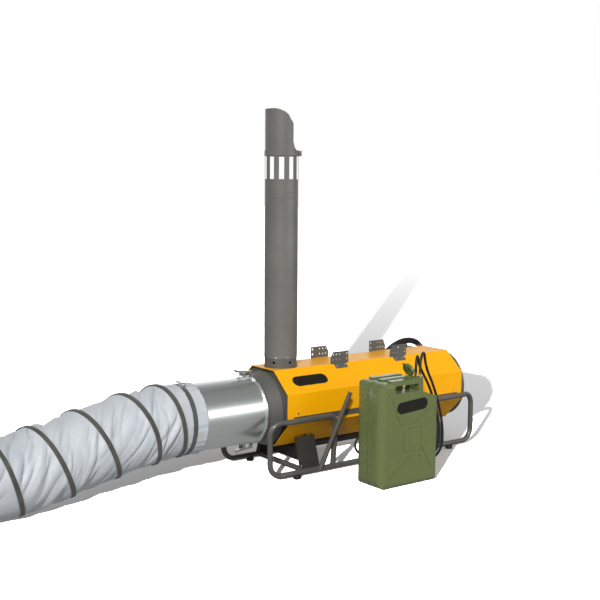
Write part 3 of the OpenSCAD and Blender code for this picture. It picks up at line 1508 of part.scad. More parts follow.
cap_d = 58;
cap_high = 14;
cap_hinge_lift = 8;
cap_hinge_out = 37;
cap_open = 120;
cap_arm_wide = 16;
cap_arm_thick = 5;
cap_pin_d = 5;
cap_lever_wide = 20;
cap_lever_thick = 4;
cap_lever_pin = 3;
cap_lever_x = 24;
cap_lever_z = cap_high - cap_hinge_lift + 2 * side_gap + (cap_lever_pin + cap_lever_thick) / 2;
cap_ear = 2.5;
cap_ear_long = 52;

// Children's origin is the cap's hinge, drawn closed and turned to the open cap
module on_cap() translate([neck_x - cap_hinge_out, can_y, can_neck_top + cap_hinge_lift])
  rotate([0, -cap_open, 0]) children();

module can_cap() color(olive) at_heater() on_cap() difference() {
  union() {
    translate([cap_hinge_out, 0, -cap_hinge_lift + side_gap]) cylinder(d = cap_d, h = cap_high);
    translate([0, -cap_arm_wide / 2, cap_high - cap_hinge_lift - cap_arm_thick])
      cube([cap_hinge_out, cap_arm_wide, cap_arm_thick]);
    translate([0, cap_arm_wide / 2, 0]) rotate([90, 0, 0]) cylinder(d = 2 * cap_pin_d, h = cap_arm_wide);
    translate([cap_lever_x, 0, cap_lever_z]) {
      for (side = [-1, 1])
        translate([-cap_pin_d, side * (cap_lever_wide + cap_ear) / 2 + side * side_gap - cap_ear / 2, -cap_pin_d])
          cube([2 * cap_pin_d, cap_ear, 2 * cap_pin_d]);
      rotate([90, 0, 0]) cylinder(d = cap_lever_pin, h = cap_lever_wide + 2 * side_gap + 2 * cap_ear, center = true);
    }
  }
  translate([cap_hinge_out, 0, -cap_hinge_lift]) cylinder(d = can_neck_d + 2 * side_gap, h = cap_high - 2 * can_wall);
  rotate([90, 0, 0]) cylinder(d = cap_pin_d + 2 * fit_gap, h = 2 * cap_arm_wide, center = true);
}

module can_cap_lever() color(olive) at_heater() on_cap() translate([cap_lever_x, 0, cap_lever_z]) difference() {
  union() {
    translate([0, -cap_lever_wide / 2, -cap_lever_thick / 2]) cube([cap_d - cap_pin_d, cap_lever_wide, cap_lever_thick]);
    rotate([90, 0, 0]) cylinder(d = cap_lever_pin + cap_lever_thick, h = cap_lever_wide, center = true);
  }
  rotate([90, 0, 0]) cylinder(d = cap_lever_pin + 2 * fit_gap, h = 2 * cap_lever_wide, center = true);
}

base_tubes();
front_end_loops();
rear_end_loops();
cross_tubes();
side_rails();
leg_plates();
saddle_plates();
undertray();
hanger_arms();
rubber_feet();
upper_cover();
lower_cover();
front_cone();
rear_cover();
inlet_guard();
inner_shell();
badge_plates();
casing_fasteners();
flue_collar();
flue_pipe();
hood_clamp();
rain_hood();
cradle_plates();
outlet_adapter();
latch_brackets();
latch_lever_top();
latch_lever_bottom();
duct_fabric();
duct_spiral();
duct_strap();
strap_lever();
control_box();
control_lid();
switch_knob();
reset_button();
pilot_lamp();
thermostat_socket();
socket_flap();
cable_gland();
cable_hook();
power_cable();
cable_coil();
power_plug();
combustion_chamber();
heat_exchanger();
fan_motor();
fan_impeller();
burner_housing();
burner_motor();
burner_wheel();
air_shutter();
fuel_pump();
ignition_transformer();
burner_nozzle();
suction_hose();
return_hose();
fuel_lance();
can_body();
can_cap();
can_cap_lever();
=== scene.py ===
"""Looks of the indirect fired heater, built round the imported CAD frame. Metres, in the frame's own axes."""

import json
import math

import bmesh
import bpy
import numpy as np
from mathutils import Matrix, Vector


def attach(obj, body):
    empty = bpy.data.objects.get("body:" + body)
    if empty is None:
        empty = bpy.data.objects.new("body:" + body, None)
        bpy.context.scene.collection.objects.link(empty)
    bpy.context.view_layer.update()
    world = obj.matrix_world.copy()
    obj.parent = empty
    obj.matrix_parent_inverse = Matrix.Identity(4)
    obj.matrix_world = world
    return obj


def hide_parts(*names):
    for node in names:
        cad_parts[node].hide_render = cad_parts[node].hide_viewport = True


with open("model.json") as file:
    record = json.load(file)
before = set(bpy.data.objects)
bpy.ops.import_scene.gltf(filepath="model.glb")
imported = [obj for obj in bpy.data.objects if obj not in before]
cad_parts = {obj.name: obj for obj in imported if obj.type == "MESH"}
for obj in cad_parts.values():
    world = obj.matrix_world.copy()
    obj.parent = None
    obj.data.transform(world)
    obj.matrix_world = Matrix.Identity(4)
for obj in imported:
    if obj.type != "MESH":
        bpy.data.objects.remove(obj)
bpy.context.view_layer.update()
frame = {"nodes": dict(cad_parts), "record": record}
nodes = frame["nodes"]
scene = bpy.context.scene

# The source's own coordinates: millimetres from the middle of the heater
OFFSET = np.array([885.25, 138.75, 0.0])
MM = 0.001
TAU = 2 * math.pi


def at(points):
    """Points in the source's millimetres as points of the frame in metres."""
    return (np.asarray(points, float) + OFFSET) * MM


def smooth(t):
    """An even step from 0 to 1."""
    t = np.clip(t, 0, 1)
    return t * t * (3 - 2 * t)


# ---------------------------------------------------------------- camera

# The camera that was fitted to the photograph, in degrees, millimetres and the source's own coordinates
YAW, TILT, ROLL = 36.612, 6.19, 0.416
CAMERA_PLACE = [-3101.312, -3741.555, 1278.32]
LENS, SENSOR = 61.2257, 36
NEAR_CLIP, FAR_CLIP = 0.05, 100

yaw, tilt, roll = math.radians(YAW), math.radians(TILT), math.radians(ROLL)
look = Vector((math.sin(yaw) * math.cos(tilt), math.cos(yaw) * math.cos(tilt), -math.sin(tilt)))
right = Vector((math.cos(yaw), -math.sin(yaw), 0))
up = right.cross(look)
right, up = right * math.cos(roll) + up * math.sin(roll), up * math.cos(roll) - right * math.sin(roll)
place = at(CAMERA_PLACE)
camera = bpy.data.objects.new("camera", bpy.data.cameras.new("camera"))
scene.collection.objects.link(camera)
camera.data.lens = LENS
camera.data.sensor_width = SENSOR
camera.data.clip_start, camera.data.clip_end = NEAR_CLIP, FAR_CLIP
camera.matrix_world = Matrix(
    (
        (right.x, up.x, -look.x, place[0]),
        (right.y, up.y, -look.y, place[1]),
        (right.z, up.z, -look.z, place[2]),
        (0, 0, 0, 1),
    )
)
scene.camera = camera
scene.view_settings.view_transform = "Standard"

# ---------------------------------------------------------------- materials


def lin(r, g, b):
    """A colour given as 0 to 255, in linear light."""
    out = []
    for c in (r, g, b):
        c = c / 255
        out.append(c / 12.92 if c <= 0.04045 else ((c + 0.055) / 1.055) ** 2.4)
    return (*out, 1)


class Mat:
    """A node material with short helpers."""

    def __init__(self, name):
        self.m = bpy.data.materials.new(name)
        self.m.use_nodes = True
        self.nt = self.m.node_tree
        self.b = self.nt.nodes["Principled BSDF"]
        self.pos = self.new("ShaderNodeTexCoord").outputs["Object"]

    def new(self, kind, **inputs):
        """A node with values or links for its inputs, whose names have underscores for spaces."""
        n = self.nt.nodes.new(kind)
        for k, v in inputs.items():
            self.put(n, k, v)
        return n

    def put(self, n, key, v):
        """Links an output to an input, or sets the input's value."""
        s = n.inputs[key.replace("_", " ")] if isinstance(key, str) else n.inputs[key]
        if isinstance(v, bpy.types.NodeSocket):
            self.nt.links.new(v, s)
        else:
            s.default_value = v

    def set(self, **inputs):
        """Values or links for the shader's own inputs."""
        for k, v in inputs.items():
            self.put(self.b, k, v)
        return self

    def mapped(self, scale=(1, 1, 1), turn=(0, 0, 0)):
        """The object's coordinates, stretched and turned."""
        return self.new("ShaderNodeMapping", Vector=self.pos, Scale=scale, Rotation=turn).outputs["Vector"]

    def noise(self, scale, detail=3, rough=0.5, vector=None, distortion=0):
        """Noise over the object's coordinates or over another vector."""
        n = self.new("ShaderNodeTexNoise", Scale=scale, Detail=detail, Roughness=rough, Distortion=distortion)
        self.put(n, "Vector", vector if vector is not None else self.pos)
        return n.outputs["Fac"]

    def wave(self, scale, vector, direction):
        """Bands across one direction, as threads or ribs."""
        n = self.new("ShaderNodeTexWave", Vector=vector, Scale=scale)
        n.bands_direction = direction
        return n.outputs["Fac"]

    def mix(self, fac, a, b):
        """The colour a, brought towards b by fac."""
        n = self.nt.nodes.new("ShaderNodeMix")
        n.data_type = "RGBA"
        for k, v in ((0, fac), (6, a), (7, b)):
            self.put(n, k, v)
        return n.outputs[2]

    def math(self, op, a, b=0.0, c=0.0):
        """A Math node of up to three values."""
        n = self.nt.nodes.new("ShaderNodeMath")
        n.operation = op
        for k, v in enumerate((a, b, c)):
            self.put(n, k, v)
        return n.outputs[0]

    def range(self, v, a, b, c, d):
        """The value v, brought from between a and b to between c and d."""
        n = self.new("ShaderNodeMapRange", Value=v)
        for k, x in zip(range(1, 5), (a, b, c, d)):
            n.inputs[k].default_value = x
        return n.outputs[0]

    def bump(self, height, strength, distance, normal=None):
        """Bump from a height, over another normal if one is given, with its distance in metres."""
        n = self.new("ShaderNodeBump", Height=height, Strength=strength, Distance=distance)
        if normal is not None:
            self.put(n, "Normal", normal)
        self.set(Normal=n.outputs["Normal"])
        return n.outputs["Normal"]

    def edges(self, radius=0.0015):
        """About 1 where the surface turns sharply, as along the edges of a sheet or tube end."""
        bev = self.new("ShaderNodeBevel", Radius=radius)
        geo = self.new("ShaderNodeNewGeometry")
        dot = self.nt.nodes.new("ShaderNodeVectorMath")
        dot.operation = "DOT_PRODUCT"
        self.put(dot, 0, bev.outputs[0])
        self.put(dot, 1, geo.outputs["Normal"])
        return self.range(dot.outputs["Value"], 0.97, 0.8, 0.0, 1.0)


def shade(c, k):
    """The colour c made k times as bright."""
    return (min(1, c[0] * k), min(1, c[1] * k), min(1, c[2] * k), 1)


def painted(
    name,
    rgb,
    rough=0.42,
    coat=0.0,
    grain=0.12,
    spread=0.05,
    scale=900,
    edge_wear_and_highlight=0.25,
    bare_and_highlight_colour=(0.5, 0.5, 0.5, 1),
    spec=0.5,
):
    """Powder coat: faint orange peel, slight tone change, a few scuffs, and edges brought towards an edge
    colour, which is worn bare steel by default and a lighter tone of the paint where it stands for a painted
    highlight.
    """
    m = Mat(name)
    broad = m.noise(5, 4, 0.6)
    base = m.mix(m.range(broad, 0.35, 0.65, 0, 1), shade(rgb, 1 - spread), shade(rgb, 1 + spread))
    scuff = m.noise(60, 6, 0.7)
    speck = m.range(scuff, 0.66, 0.74, 0, 0.06)
    base = m.mix(speck, base, shade(rgb, 1.45))
    # Edges go towards the edge colour: bare steel as real wear, and on the can a lighter olive as a painted
    # highlight
    worn_and_lit_edges = m.math("MULTIPLY", m.edges(), m.range(m.noise(140, 5, 0.7), 0.45, 0.62, 0, edge_wear_and_highlight))
    base = m.mix(worn_and_lit_edges, base, bare_and_highlight_colour)
    m.set(Base_Color=base, Roughness=m.range(m.noise(35, 4, 0.6), 0.3, 0.7, rough - 0.06, rough + 0.08))
    m.set(Coat_Weight=coat, Coat_Roughness=0.12, Specular_IOR_Level=spec)
    m.bump(m.noise(scale, 2, 0.5), grain, 0.0004)
    return m.m


def metal(name, rgb, rough, grain=(1, 1, 1), streak=0.10, spangle=0.0, bump=0.05, spread=0.08):
    """Bare or zinc plated steel, with streaks along one direction and an optional spangle."""
    m = Mat(name)
    v = m.mapped(grain)
    lines = m.noise(220, 5, 0.65, v)
    cloud = m.noise(9, 5, 0.6)
    base = m.mix(m.range(cloud, 0.3, 0.7, 0, 1), shade(rgb, 1 - spread), shade(rgb, 1 + spread))
    if spangle:
        cell = m.new("ShaderNodeTexVoronoi", Vector=m.pos, Scale=70).outputs["Color"]
        base = m.mix(spangle, base, m.mix(cell, shade(rgb, 0.8), shade(rgb, 1.15)))
    gloss = m.range(lines, 0.3, 0.7, rough - streak / 2, rough + streak / 2)
    m.set(Base_Color=base, Metallic=1.0, Roughness=gloss)
    m.bump(lines, bump, 0.0002)
    return m.m


def rubber(name, rgb, rough=0.55, grain=0.2, scale=600):
    """Rubber or moulded plastic, with a little dust."""
    m = Mat(name)
    cloud = m.noise(14, 4, 0.6)
    dust = m.range(m.noise(40, 6, 0.7), 0.55, 0.75, 0, 0.12)
    base = m.mix(m.range(cloud, 0.3, 0.7, 0, 1), shade(rgb, 0.85), shade(rgb, 1.2))
    base = m.mix(dust, base, DUST)
    m.set(Base_Color=base, Roughness=m.range(m.noise(60, 3), 0.3, 0.7, rough - 0.07, rough + 0.07))
    m.bump(m.noise(scale, 3, 0.6), grain, 0.0003)
    return m.m


YELLOW = lin(250, 176, 0)
GREY = lin(84, 83, 79)
DARK = lin(90, 89, 85)
FLUE = lin(108, 107, 102)
BLACK = lin(26, 26, 25)
OLIVE = lin(99, 111, 64)
# A lighter olive for the can's edges and pressed lines: a painted highlight, not wear
OLIVE_EDGE_HIGHLIGHT = lin(170, 184, 126)
# The frame's dark grey made darker for the leg plates, as painted shade under the casing
LEG_SHADED = lin(50, 50, 46)
BOX = lin(80, 82, 84)
DUST = lin(120, 116, 108)
GALVANISED = (0.88, 0.92, 0.91, 1)

mats = {
    "frame_paint": painted("frame_paint", GREY, 0.34, coat=0.25, grain=0.18, scale=500),
    "dark_paint": painted("dark_paint", DARK, 0.42, coat=0.1, grain=0.2, scale=600),
    "flue_paint": painted("flue_paint", FLUE, 0.4, coat=0.12, grain=0.2, scale=700, spread=0.08),
    "leg_paint_shaded": painted("leg_paint_shaded", LEG_SHADED, 0.45, coat=0.05, grain=0.2, scale=600),
    "black_paint": painted("black_paint", BLACK, 0.45, grain=0.2, edge_wear_and_highlight=0.15),
    "yellow_paint": painted(
        "yellow_paint", YELLOW, 0.36, coat=0.06, grain=0.07, spread=0.02, edge_wear_and_highlight=0.1, spec=0.3
    ),
    "box_paint": painted("box_paint", BOX, 0.4, coat=0.1, grain=0.25, scale=450),
    # The can's paint, with a painted highlight along its edges and pressed lines
    "olive_paint": painted(
        "olive_paint", OLIVE, 0.26, coat=0.5, grain=0.03, spread=0.03, scale=240, edge_wear_and_highlight=0.3, bare_and_highlight_colour=OLIVE_EDGE_HIGHLIGHT
    ),
    "black_rubber": rubber("black_rubber", lin(30, 30, 29)),
    "black_plastic": rubber("black_plastic", lin(24, 24, 25), 0.42, 0.3, 1400),
    "badge_black": rubber("badge_black", lin(22, 20, 14), 0.25, 0.03, 900),
    "red_plastic": rubber("red_plastic", lin(176, 28, 22), 0.3, 0.08),
    "galvanised_steel": metal(
        "galvanised_steel", GALVANISED, 0.3, (0.6, 14, 14), 0.05, spangle=0.06, bump=0.03, spread=0.03
    ),
    "zinc_plate": metal("zinc_plate", (0.72, 0.73, 0.72, 1), 0.25, (6, 1, 1), 0.15, bump=0.1),
    "bright_steel": metal("bright_steel", (0.6, 0.6, 0.59, 1), 0.3, (1, 8, 8), 0.18),
    "hot_steel": metal("hot_steel", (0.5, 0.47, 0.43, 1), 0.42, (1, 6, 6), 0.2, spread=0.25),
    "cast_aluminium": metal("cast_aluminium", (0.62, 0.63, 0.64, 1), 0.5, (3, 3, 3), 0.15, bump=0.35),
    "brass": metal("brass", (0.72, 0.54, 0.25, 1), 0.27, (5, 5, 1), 0.12),
}

lamp = Mat("green_lens")
lamp.set(
    Base_Color=lamp.mix(lamp.noise(30, 2), lin(20, 130, 50), lin(40, 165, 70)),
    Roughness=0.12,
    Coat_Weight=0.6,
    Coat_Roughness=0.05,
)
lamp.bump(lamp.noise(300, 2), 0.05, 0.0002)
mats["green_lens"] = lamp.m

cloth = Mat("duct_cloth")
weave_a = cloth.wave(420, cloth.mapped((1, 0.35, 0.35), (0, 0, 0.5)), "X")
weave_b = cloth.wave(420, cloth.mapped((0.35, 1, 1), (0.6, 0, 0)), "Z")
weave = cloth.math("MULTIPLY", weave_a, weave_b)
stain = cloth.noise(6, 6, 0.62)
blot = cloth.noise(26, 5, 0.6)
tone = cloth.mix(cloth.range(stain, 0.35, 0.68, 0, 1), lin(199, 204, 208), lin(183, 189, 195))
tone = cloth.mix(cloth.range(blot, 0.55, 0.75, 0, 0.25), tone, lin(166, 172, 178))
cloth.set(
    Base_Color=tone,
    Roughness=cloth.range(blot, 0.3, 0.7, 0.42, 0.6),
    Sheen_Weight=0.15,
    Sheen_Roughness=0.4,
    Specular_IOR_Level=0.45,
)
cloth.bump(weave, 0.25, 0.0003, cloth.bump(cloth.noise(38, 5, 0.6, distortion=0.6), 0.35, 0.004))
mats["duct_cloth"] = cloth.m

strip = Mat("duct_strip")
ribs = strip.wave(520, strip.mapped(), "X")
fuzz = strip.noise(500, 4, 0.7)
strip.set(
    Base_Color=strip.mix(strip.range(strip.noise(18, 5), 0.3, 0.7, 0, 1), lin(62, 62, 58), lin(84, 84, 79)),
    Roughness=0.72,
    Sheen_Weight=0.25,
    Sheen_Roughness=0.5,
)
strip.bump(strip.math("ADD", ribs, fuzz), 0.4, 0.0006)
mats["duct_strip"] = strip.m

# Nodes whose look isn't the one that their material slot names
material_of = {
    # The leg plates get the darker grey as painted shade
    "leg_plates": "leg_paint_shaded",
    "flue_pipe": "flue_paint",
    "rain_hood": "flue_paint",
    "flue_collar": "dark_paint",
    "badge_plates": "badge_black",
    "combustion_chamber": "hot_steel",
    "heat_exchanger": "hot_steel",
    "latch_brackets": "zinc_plate",
    "latch_lever_top": "zinc_plate",
    "latch_lever_bottom": "zinc_plate",
    "strap_lever": "zinc_plate",
    "air_shutter": "zinc_plate",
    "casing_fasteners": "zinc_plate",
    "hood_clamp": "flue_paint",
}
slot_of = {entry["node"]: entry["material_slot"] for entry in frame["record"]["subparts"]}

# Widths of the worn or rolled edges of the carried-over solids, in metres
EDGE = {
    "upper_cover": 0.0011,
    "lower_cover": 0.0011,
    "cradle_plates": 0.0008,
    "leg_plates": 0.001,
    "saddle_plates": 0.001,
    "undertray": 0.0008,
    "side_rails": 0.0012,
    "control_box": 0.002,
    "control_lid": 0.0008,
    "latch_brackets": 0.0005,
    "latch_lever_top": 0.0007,
    "latch_lever_bottom": 0.0007,
    "strap_lever": 0.0006,
    "badge_plates": 0.0006,
    "cable_hook": 0.0008,
    "rubber_feet": 0.0012,
    "can_cap": 0.0012,
    "can_cap_lever": 0.0008,
    "fuel_pump": 0.0012,
    "ignition_transformer": 0.003,
    "rear_cover": 0.0007,
    "front_cone": 0.0007,
    "switch_knob": 0.001,
    "power_plug": 0.0015,
    "outlet_adapter": 0.0005,
    "hood_clamp": 0.0005,
    "rain_hood": 0.0005,
    "socket_flap": 0.0006,
    "can_body": 0.0012,
}
EDGE_SEGMENTS, EDGE_ANGLE = 2, 38
for name, o in nodes.items():
    key = material_of.get(name, slot_of.get(name))
    o.data.materials.clear()
    o.data.materials.append(mats[key])
    if name in EDGE:
        b = o.modifiers.new("edge", "BEVEL")
        b.width = EDGE[name]
        b.segments = EDGE_SEGMENTS
        b.limit_method = "ANGLE"
        b.angle_limit = math.radians(EDGE_ANGLE)
        b.harden_normals = False

# ---------------------------------------------------------------- mesh helpers

CORD_ROUNDNESS = 5


def piece(name, vertices, faces, material, body="heater", smoothed=True):
    """A mesh object on its body, with its material and slot."""
    me = bpy.data.meshes.new(name)
    me.from_pydata(np.asarray(vertices, float).tolist(), [], faces)
    me.validate()
    bm = bmesh.new()
    bm.from_mesh(me)
    bmesh.ops.recalc_face_normals(bm, faces=bm.faces)
    bm.to_mesh(me)
    bm.free()
    if smoothed:
        me.polygons.foreach_set("use_smooth", [True] * len(me.polygons))
    me.materials.append(mats[material])
    o = bpy.data.objects.new(name, me)
    scene.collection.objects.link(o)
    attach(o, body)
    return o


def grid_faces(rows, columns):
    """Faces between rings of vertices that lie one after the other."""
    faces = []
    for i in range(rows - 1):
        here, there = i * columns, (i + 1) * columns
        for j in range(columns):
            after = (j + 1) % columns
            faces.append((here + j, here + after, there + after, there + j))
    return faces


def catmull(points, steps):
    """A smooth line through the points, with a number of steps from each to the next."""
    p = np.asarray(points, float)
    out = []
    for i in range(len(p) - 1):
        a, b, c, d = p[max(i - 1, 0)], p[i], p[i + 1], p[min(i + 2, len(p) - 1)]
        for k in range(steps):
            t = k / steps
            linear, square, cube = c - a, 2 * a - 5 * b + 4 * c - d, 3 * b - a - 3 * c + d
            out.append(0.5 * (2 * b + linear * t + square * t * t + cube * t**3))
    out.append(p[-1])
    return np.array(out)


def cord(name, points, diameter):
    """A round cord of black rubber along the points."""
    data = bpy.data.curves.new(name, "CURVE")
    data.dimensions = "3D"
    data.bevel_depth = diameter / 2
    data.bevel_resolution = CORD_ROUNDNESS
    data.use_fill_caps = True
    spline = data.splines.new("POLY")
    spline.points.add(len(points) - 1)
    for q, p in zip(spline.points, points):
        q.co = (*p, 1)
    spline.use_smooth = True
    data.materials.append(mats["black_rubber"])
    o = bpy.data.objects.new(name, data)
    scene.collection.objects.link(o)
    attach(o, "heater")
    return o


# ---------------------------------------------------------------- cords, with the source's own route points

# The coil in millimetres and degrees: the cable's diameter, the turns, the outer radius and the lean
coil_d, coil_turns, coil_r, coil_lean = 9.0, 5.5, 180.0, 18
coil_step = coil_d + 0.8 * coil_d / 9
coil_mid = np.array([510.0, 232.0, 335.0])
RINGS_PER_TURN = 24
lean = math.radians(coil_lean)
coil_up = np.array([0, -math.sin(lean), math.cos(lean)])
coil_out = np.array([0, math.cos(lean), math.sin(lean)])


def coil_spot(n):
    """The cable's middle line in its coil after n turns: inwards, over to the second layer and out again."""
    middle = coil_turns / 2
    r = coil_r - coil_step * (middle - abs(n - middle))
    layer = coil_step * (float(smooth(2 * (n - middle) + 0.5)) - 0.5)
    a = math.radians(360 * n - 90)
    return coil_mid + r * (math.sin(a) * np.array([1, 0, 0]) + math.cos(a) * coil_up) + layer * coil_out


coil_line = [coil_spot(i / RINGS_PER_TURN) for i in range(int(coil_turns * RINGS_PER_TURN) + 1)]
coil_in = coil_line[0] - coil_up * coil_d
coil_end = coil_line[-1] - coil_up * coil_d
# The cable's run from its gland to the coil, and its tail from the coil to the plug
run = [[128, 229, 333], [150, 229, 333], [170, 230, 333], [190, 232, 328], [212, 234, 316]]
run += [[236, 236, 300], [262, 237, 288], [288, 238, 284], [314, 236, 296]]
run += [list(coil_in - coil_up * coil_d / 2), list(coil_in)]
tail = [list(coil_end), list(coil_end - coil_up * coil_d / 2)]
tail += [[689, 234, 297], [687, 236, 276], [683, 238, 250], [678, 240, 222], [674, 241, 192], [672, 241, 165]]
coil = catmull([coil_in, *coil_line, coil_end], 3)
cable_path = at(np.vstack([catmull(run, 4)[:-1], coil[:-1], catmull(tail, 4)]))
cable = cord("mains_cable", cable_path, coil_d * MM)
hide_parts("power_cable", "cable_coil")

HOSE_D = 0.012
HOSE_Z, HOSE_APART = 475, 13
CAN_X, CAN_LENGTH, NECK_SHARE = -139, 345, 0.83
neck_x = CAN_X - CAN_LENGTH / 2 + NECK_SHARE * CAN_LENGTH
# The hoses' routes from the lance in the can's neck over the floor and up through the tray
suction = [[neck_x - HOSE_APART, -480, HOSE_Z], [-38, -480, 500], [-36, -479, 520], [-26, -471, 537]]
suction += [[-8, -456, 544], [10, -440, 538], [28, -424, 520], [50, -410, 490], [80, -402, 450]]
suction += [[116, -397, 400], [146, -394, 345], [173, -391, 285], [193, -388, 225], [206, -384, 165]]
suction += [[210, -378, 110], [202, -366, 62], [180, -340, 30], [150, -300, 12], [128, -250, 7]]
suction += [[112, -200, 7], [86, -150, 7], [54, -110, 7], [16, -82, 10], [-16, -66, 26], [-30, -60, 54]]
suction += [[-20, -58, 84], [8, -58, 108], [38, -60, 122], [57, -60, 134], [57, -60, 195], [57, -60, 256]]
feedback = [[neck_x + HOSE_APART, -480, HOSE_Z], [-12, -480, 500], [-10, -479, 522], [2, -472, 544]]
feedback += [[22, -459, 556], [44, -445, 550], [62, -430, 528], [82, -416, 498], [107, -406, 455]]
feedback += [[139, -400, 405], [168, -395, 350], [195, -390, 290], [216, -387, 225], [230, -383, 160]]
feedback += [[235, -376, 100], [226, -362, 52], [204, -334, 20], [172, -290, 8], [152, -240, 7]]
feedback += [[138, -190, 7], [124, -148, 7], [108, -114, 12], [95, -88, 32], [87, -70, 62], [84, -62, 96]]
feedback += [[83, -60, 134], [83, -60, 195], [83, -60, 256]]
hoses = (("suction_line", suction, "suction_hose"), ("return_line", feedback, "return_hose"))
for name, points, node in hoses:
    path = at(catmull(points, 6))
    hose = cord(name, path, HOSE_D)
    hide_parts(node)

# ---------------------------------------------------------------- air duct

# All in millimetres: u runs from the cuff's edge along the duct, and a is an angle round it.
# The place and height of the cuff's edge, the duct's radius, and the strip's steps per turn and its start
CUFF_X, AXIS, DUCT_R, PITCH, FIRST_PITCH, START = -905.0, 296.0, 160.0, 197.0, 130.0, 92.0
# The turn and the place where the strip's step changes, and its width and height
KNEE, KNEE_U, STRIP, STRIP_HIGH = 0.75, 247.0, 19.0, 5.0
# The length of the stretched part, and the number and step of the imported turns
STRETCHED, PACKED, PACKED_PITCH = 1055.0, 10, 44.0
LENGTH = STRETCHED + PACKED * PACKED_PITCH
WHOLE = KNEE + (STRETCHED - KNEE_U) / PITCH
ADAPTER_R, ADAPTER_FACET, CUFF_THICK = 147.3, 7.5, 3
CUFF_R = ADAPTER_R / math.cos(math.radians(ADAPTER_FACET)) + CUFF_THICK
# The axis's height where the duct lies on the floor, and where it drops to that
REST = 166.1
DROP_START, DROP_LONG = 95, 850
FLARE_START, FLARE_LONG = 90, 80
STRAP_U, STRAP_WIDE, STRAP_HIGH = 62.0, 23, 2.25
STRAP_TURN = math.radians(14)
# The cloth's least height over the floor
FLOOR_GAP = 1.2


def duct_z(u):
    """Height of the duct's axis, which sinks from the adapter's to where the duct lies on the floor."""
    return AXIS - (AXIS - REST) * smooth((u - DROP_START) / DROP_LONG)


def duct_point(u, a, r):
    """The duct's surface at distance u from its cuff edge, angle a from the top towards the near side."""
    slope = (duct_z(u + 1) - duct_z(u - 1)) / 2
    n = np.sqrt(1 + slope * slope)
    x = CUFF_X - u + r * np.cos(a) * slope / n
    return np.stack([x, -r * np.sin(a), duct_z(u) + r * np.cos(a) / n], -1)


def fabric_r(u):
    """The cloth's radius without folds, from the cuff's to the duct's."""
    return CUFF_R + (DUCT_R - CUFF_R) * smooth((u - FLARE_START) / FLARE_LONG)


def turn_of(u, a):
    """The count of turns of the strip at distance u and angle a; the strip lies where it is whole."""
    near = KNEE + (u - KNEE_U) / np.where(u < KNEE_U, FIRST_PITCH, PITCH)
    return np.where(u < STRETCHED, near, WHOLE + (u - STRETCHED) / PACKED_PITCH) + a / TAU


def strip_u(n):
    """Distance of the strip from the cuff edge after n turns."""
    near = KNEE_U + (n - KNEE) * np.where(n < KNEE, FIRST_PITCH, PITCH)
    return np.where(n < WHOLE, near, STRETCHED + (n - WHOLE) * PACKED_PITCH)


# The folds between the strip's turns: how many in a turn, and the least and most of each measure
FOLDS_PER_TURN, FOLD_SEED = 34, 40
FOLD_REACH, FOLD_WIDE, FOLD_DEEP, FOLD_SLANT = (80, 210), (7, 19), (2.5, 8.5), (22, 38)
FOLD_PLACE, FOLD_BOW = (0.0, 0.95), (-0.0016, 0.0016)
FOLD_OUT, FOLD_IN = -2.5, 24
HOLD_WIDE, SAG = 26, 8.0
FADE_LONG, FADE_SHORT = 30, 10


def folds(u, a):
    """Depth in millimetres of the cloth's slant folds between the turns of the strip."""
    t = turn_of(u, a)
    f = t - np.floor(t)
    k = np.floor(t)
    s = a * DUCT_R
    depth = np.zeros_like(u)
    # A fold is placed by the strip's own turns, so each turn has its folds whatever the angle
    for turn in range(-1, 7):
        r = np.random.default_rng(FOLD_SEED + turn)
        inside = (k == turn) | (k == turn - 1) | (k == turn + 1)
        for _ in range(FOLDS_PER_TURN):
            angle0 = r.uniform(0, TAU)
            f0 = r.uniform(*FOLD_PLACE)
            reach = r.uniform(*FOLD_REACH)
            wide = r.uniform(*FOLD_WIDE)
            deep = r.uniform(*FOLD_DEEP)
            slant = math.radians(r.uniform(*FOLD_SLANT))
            bow = r.uniform(*FOLD_BOW)
            u0 = float(strip_u(turn + f0 - angle0 / TAU))
            ds = (s - angle0 * DUCT_R + math.pi * DUCT_R) % (TAU * DUCT_R) - math.pi * DUCT_R
            du = u - u0
            along = ds * math.cos(slant) + du * math.sin(slant)
            off = du * math.cos(slant) - ds * math.sin(slant) + bow * along * along
            near = (np.abs(along) < reach) & (np.abs(off) < 4 * wide) & inside
            taper = np.cos(np.clip(along / reach, -1, 1) * math.pi / 2) ** 1.2
            q = off / wide
            crease = np.where(q < 0, np.exp(-np.abs(q) * 1.1), np.exp(-np.abs(q) * 2.6))
            ridge = 0.55 * np.exp(-(((q - 1.7) / 1.1) ** 2))
            depth += near * deep * taper * (crease - ridge)
    hold = smooth(np.minimum(f, 1 - f) * PITCH / HOLD_WIDE)
    sag = SAG * np.sin(math.pi * f) ** 0.9 * (0.75 + 0.35 * np.cos(a))
    return (depth + sag) * hold


# Rings of the mesh: the plain cuff up to where the folds begin, then the stretched part
FOLDS_FROM, CUFF_RINGS, BODY_RINGS, ROUND = 112, 22, 212, 236
cuff_part = np.linspace(0, FOLDS_FROM, CUFF_RINGS, endpoint=False)
stations = np.concatenate([cuff_part, np.linspace(FOLDS_FROM, STRETCHED, BODY_RINGS)])
angles = np.linspace(0, TAU, ROUND, endpoint=False)
uu, aa = np.meshgrid(stations, angles, indexing="ij")
radius = fabric_r(uu)
live = smooth((uu - FOLDS_FROM) / FADE_LONG) * smooth((STRETCHED - uu) / FADE_LONG)
radius = radius - np.clip(folds(uu, aa), FOLD_OUT, FOLD_IN) * live
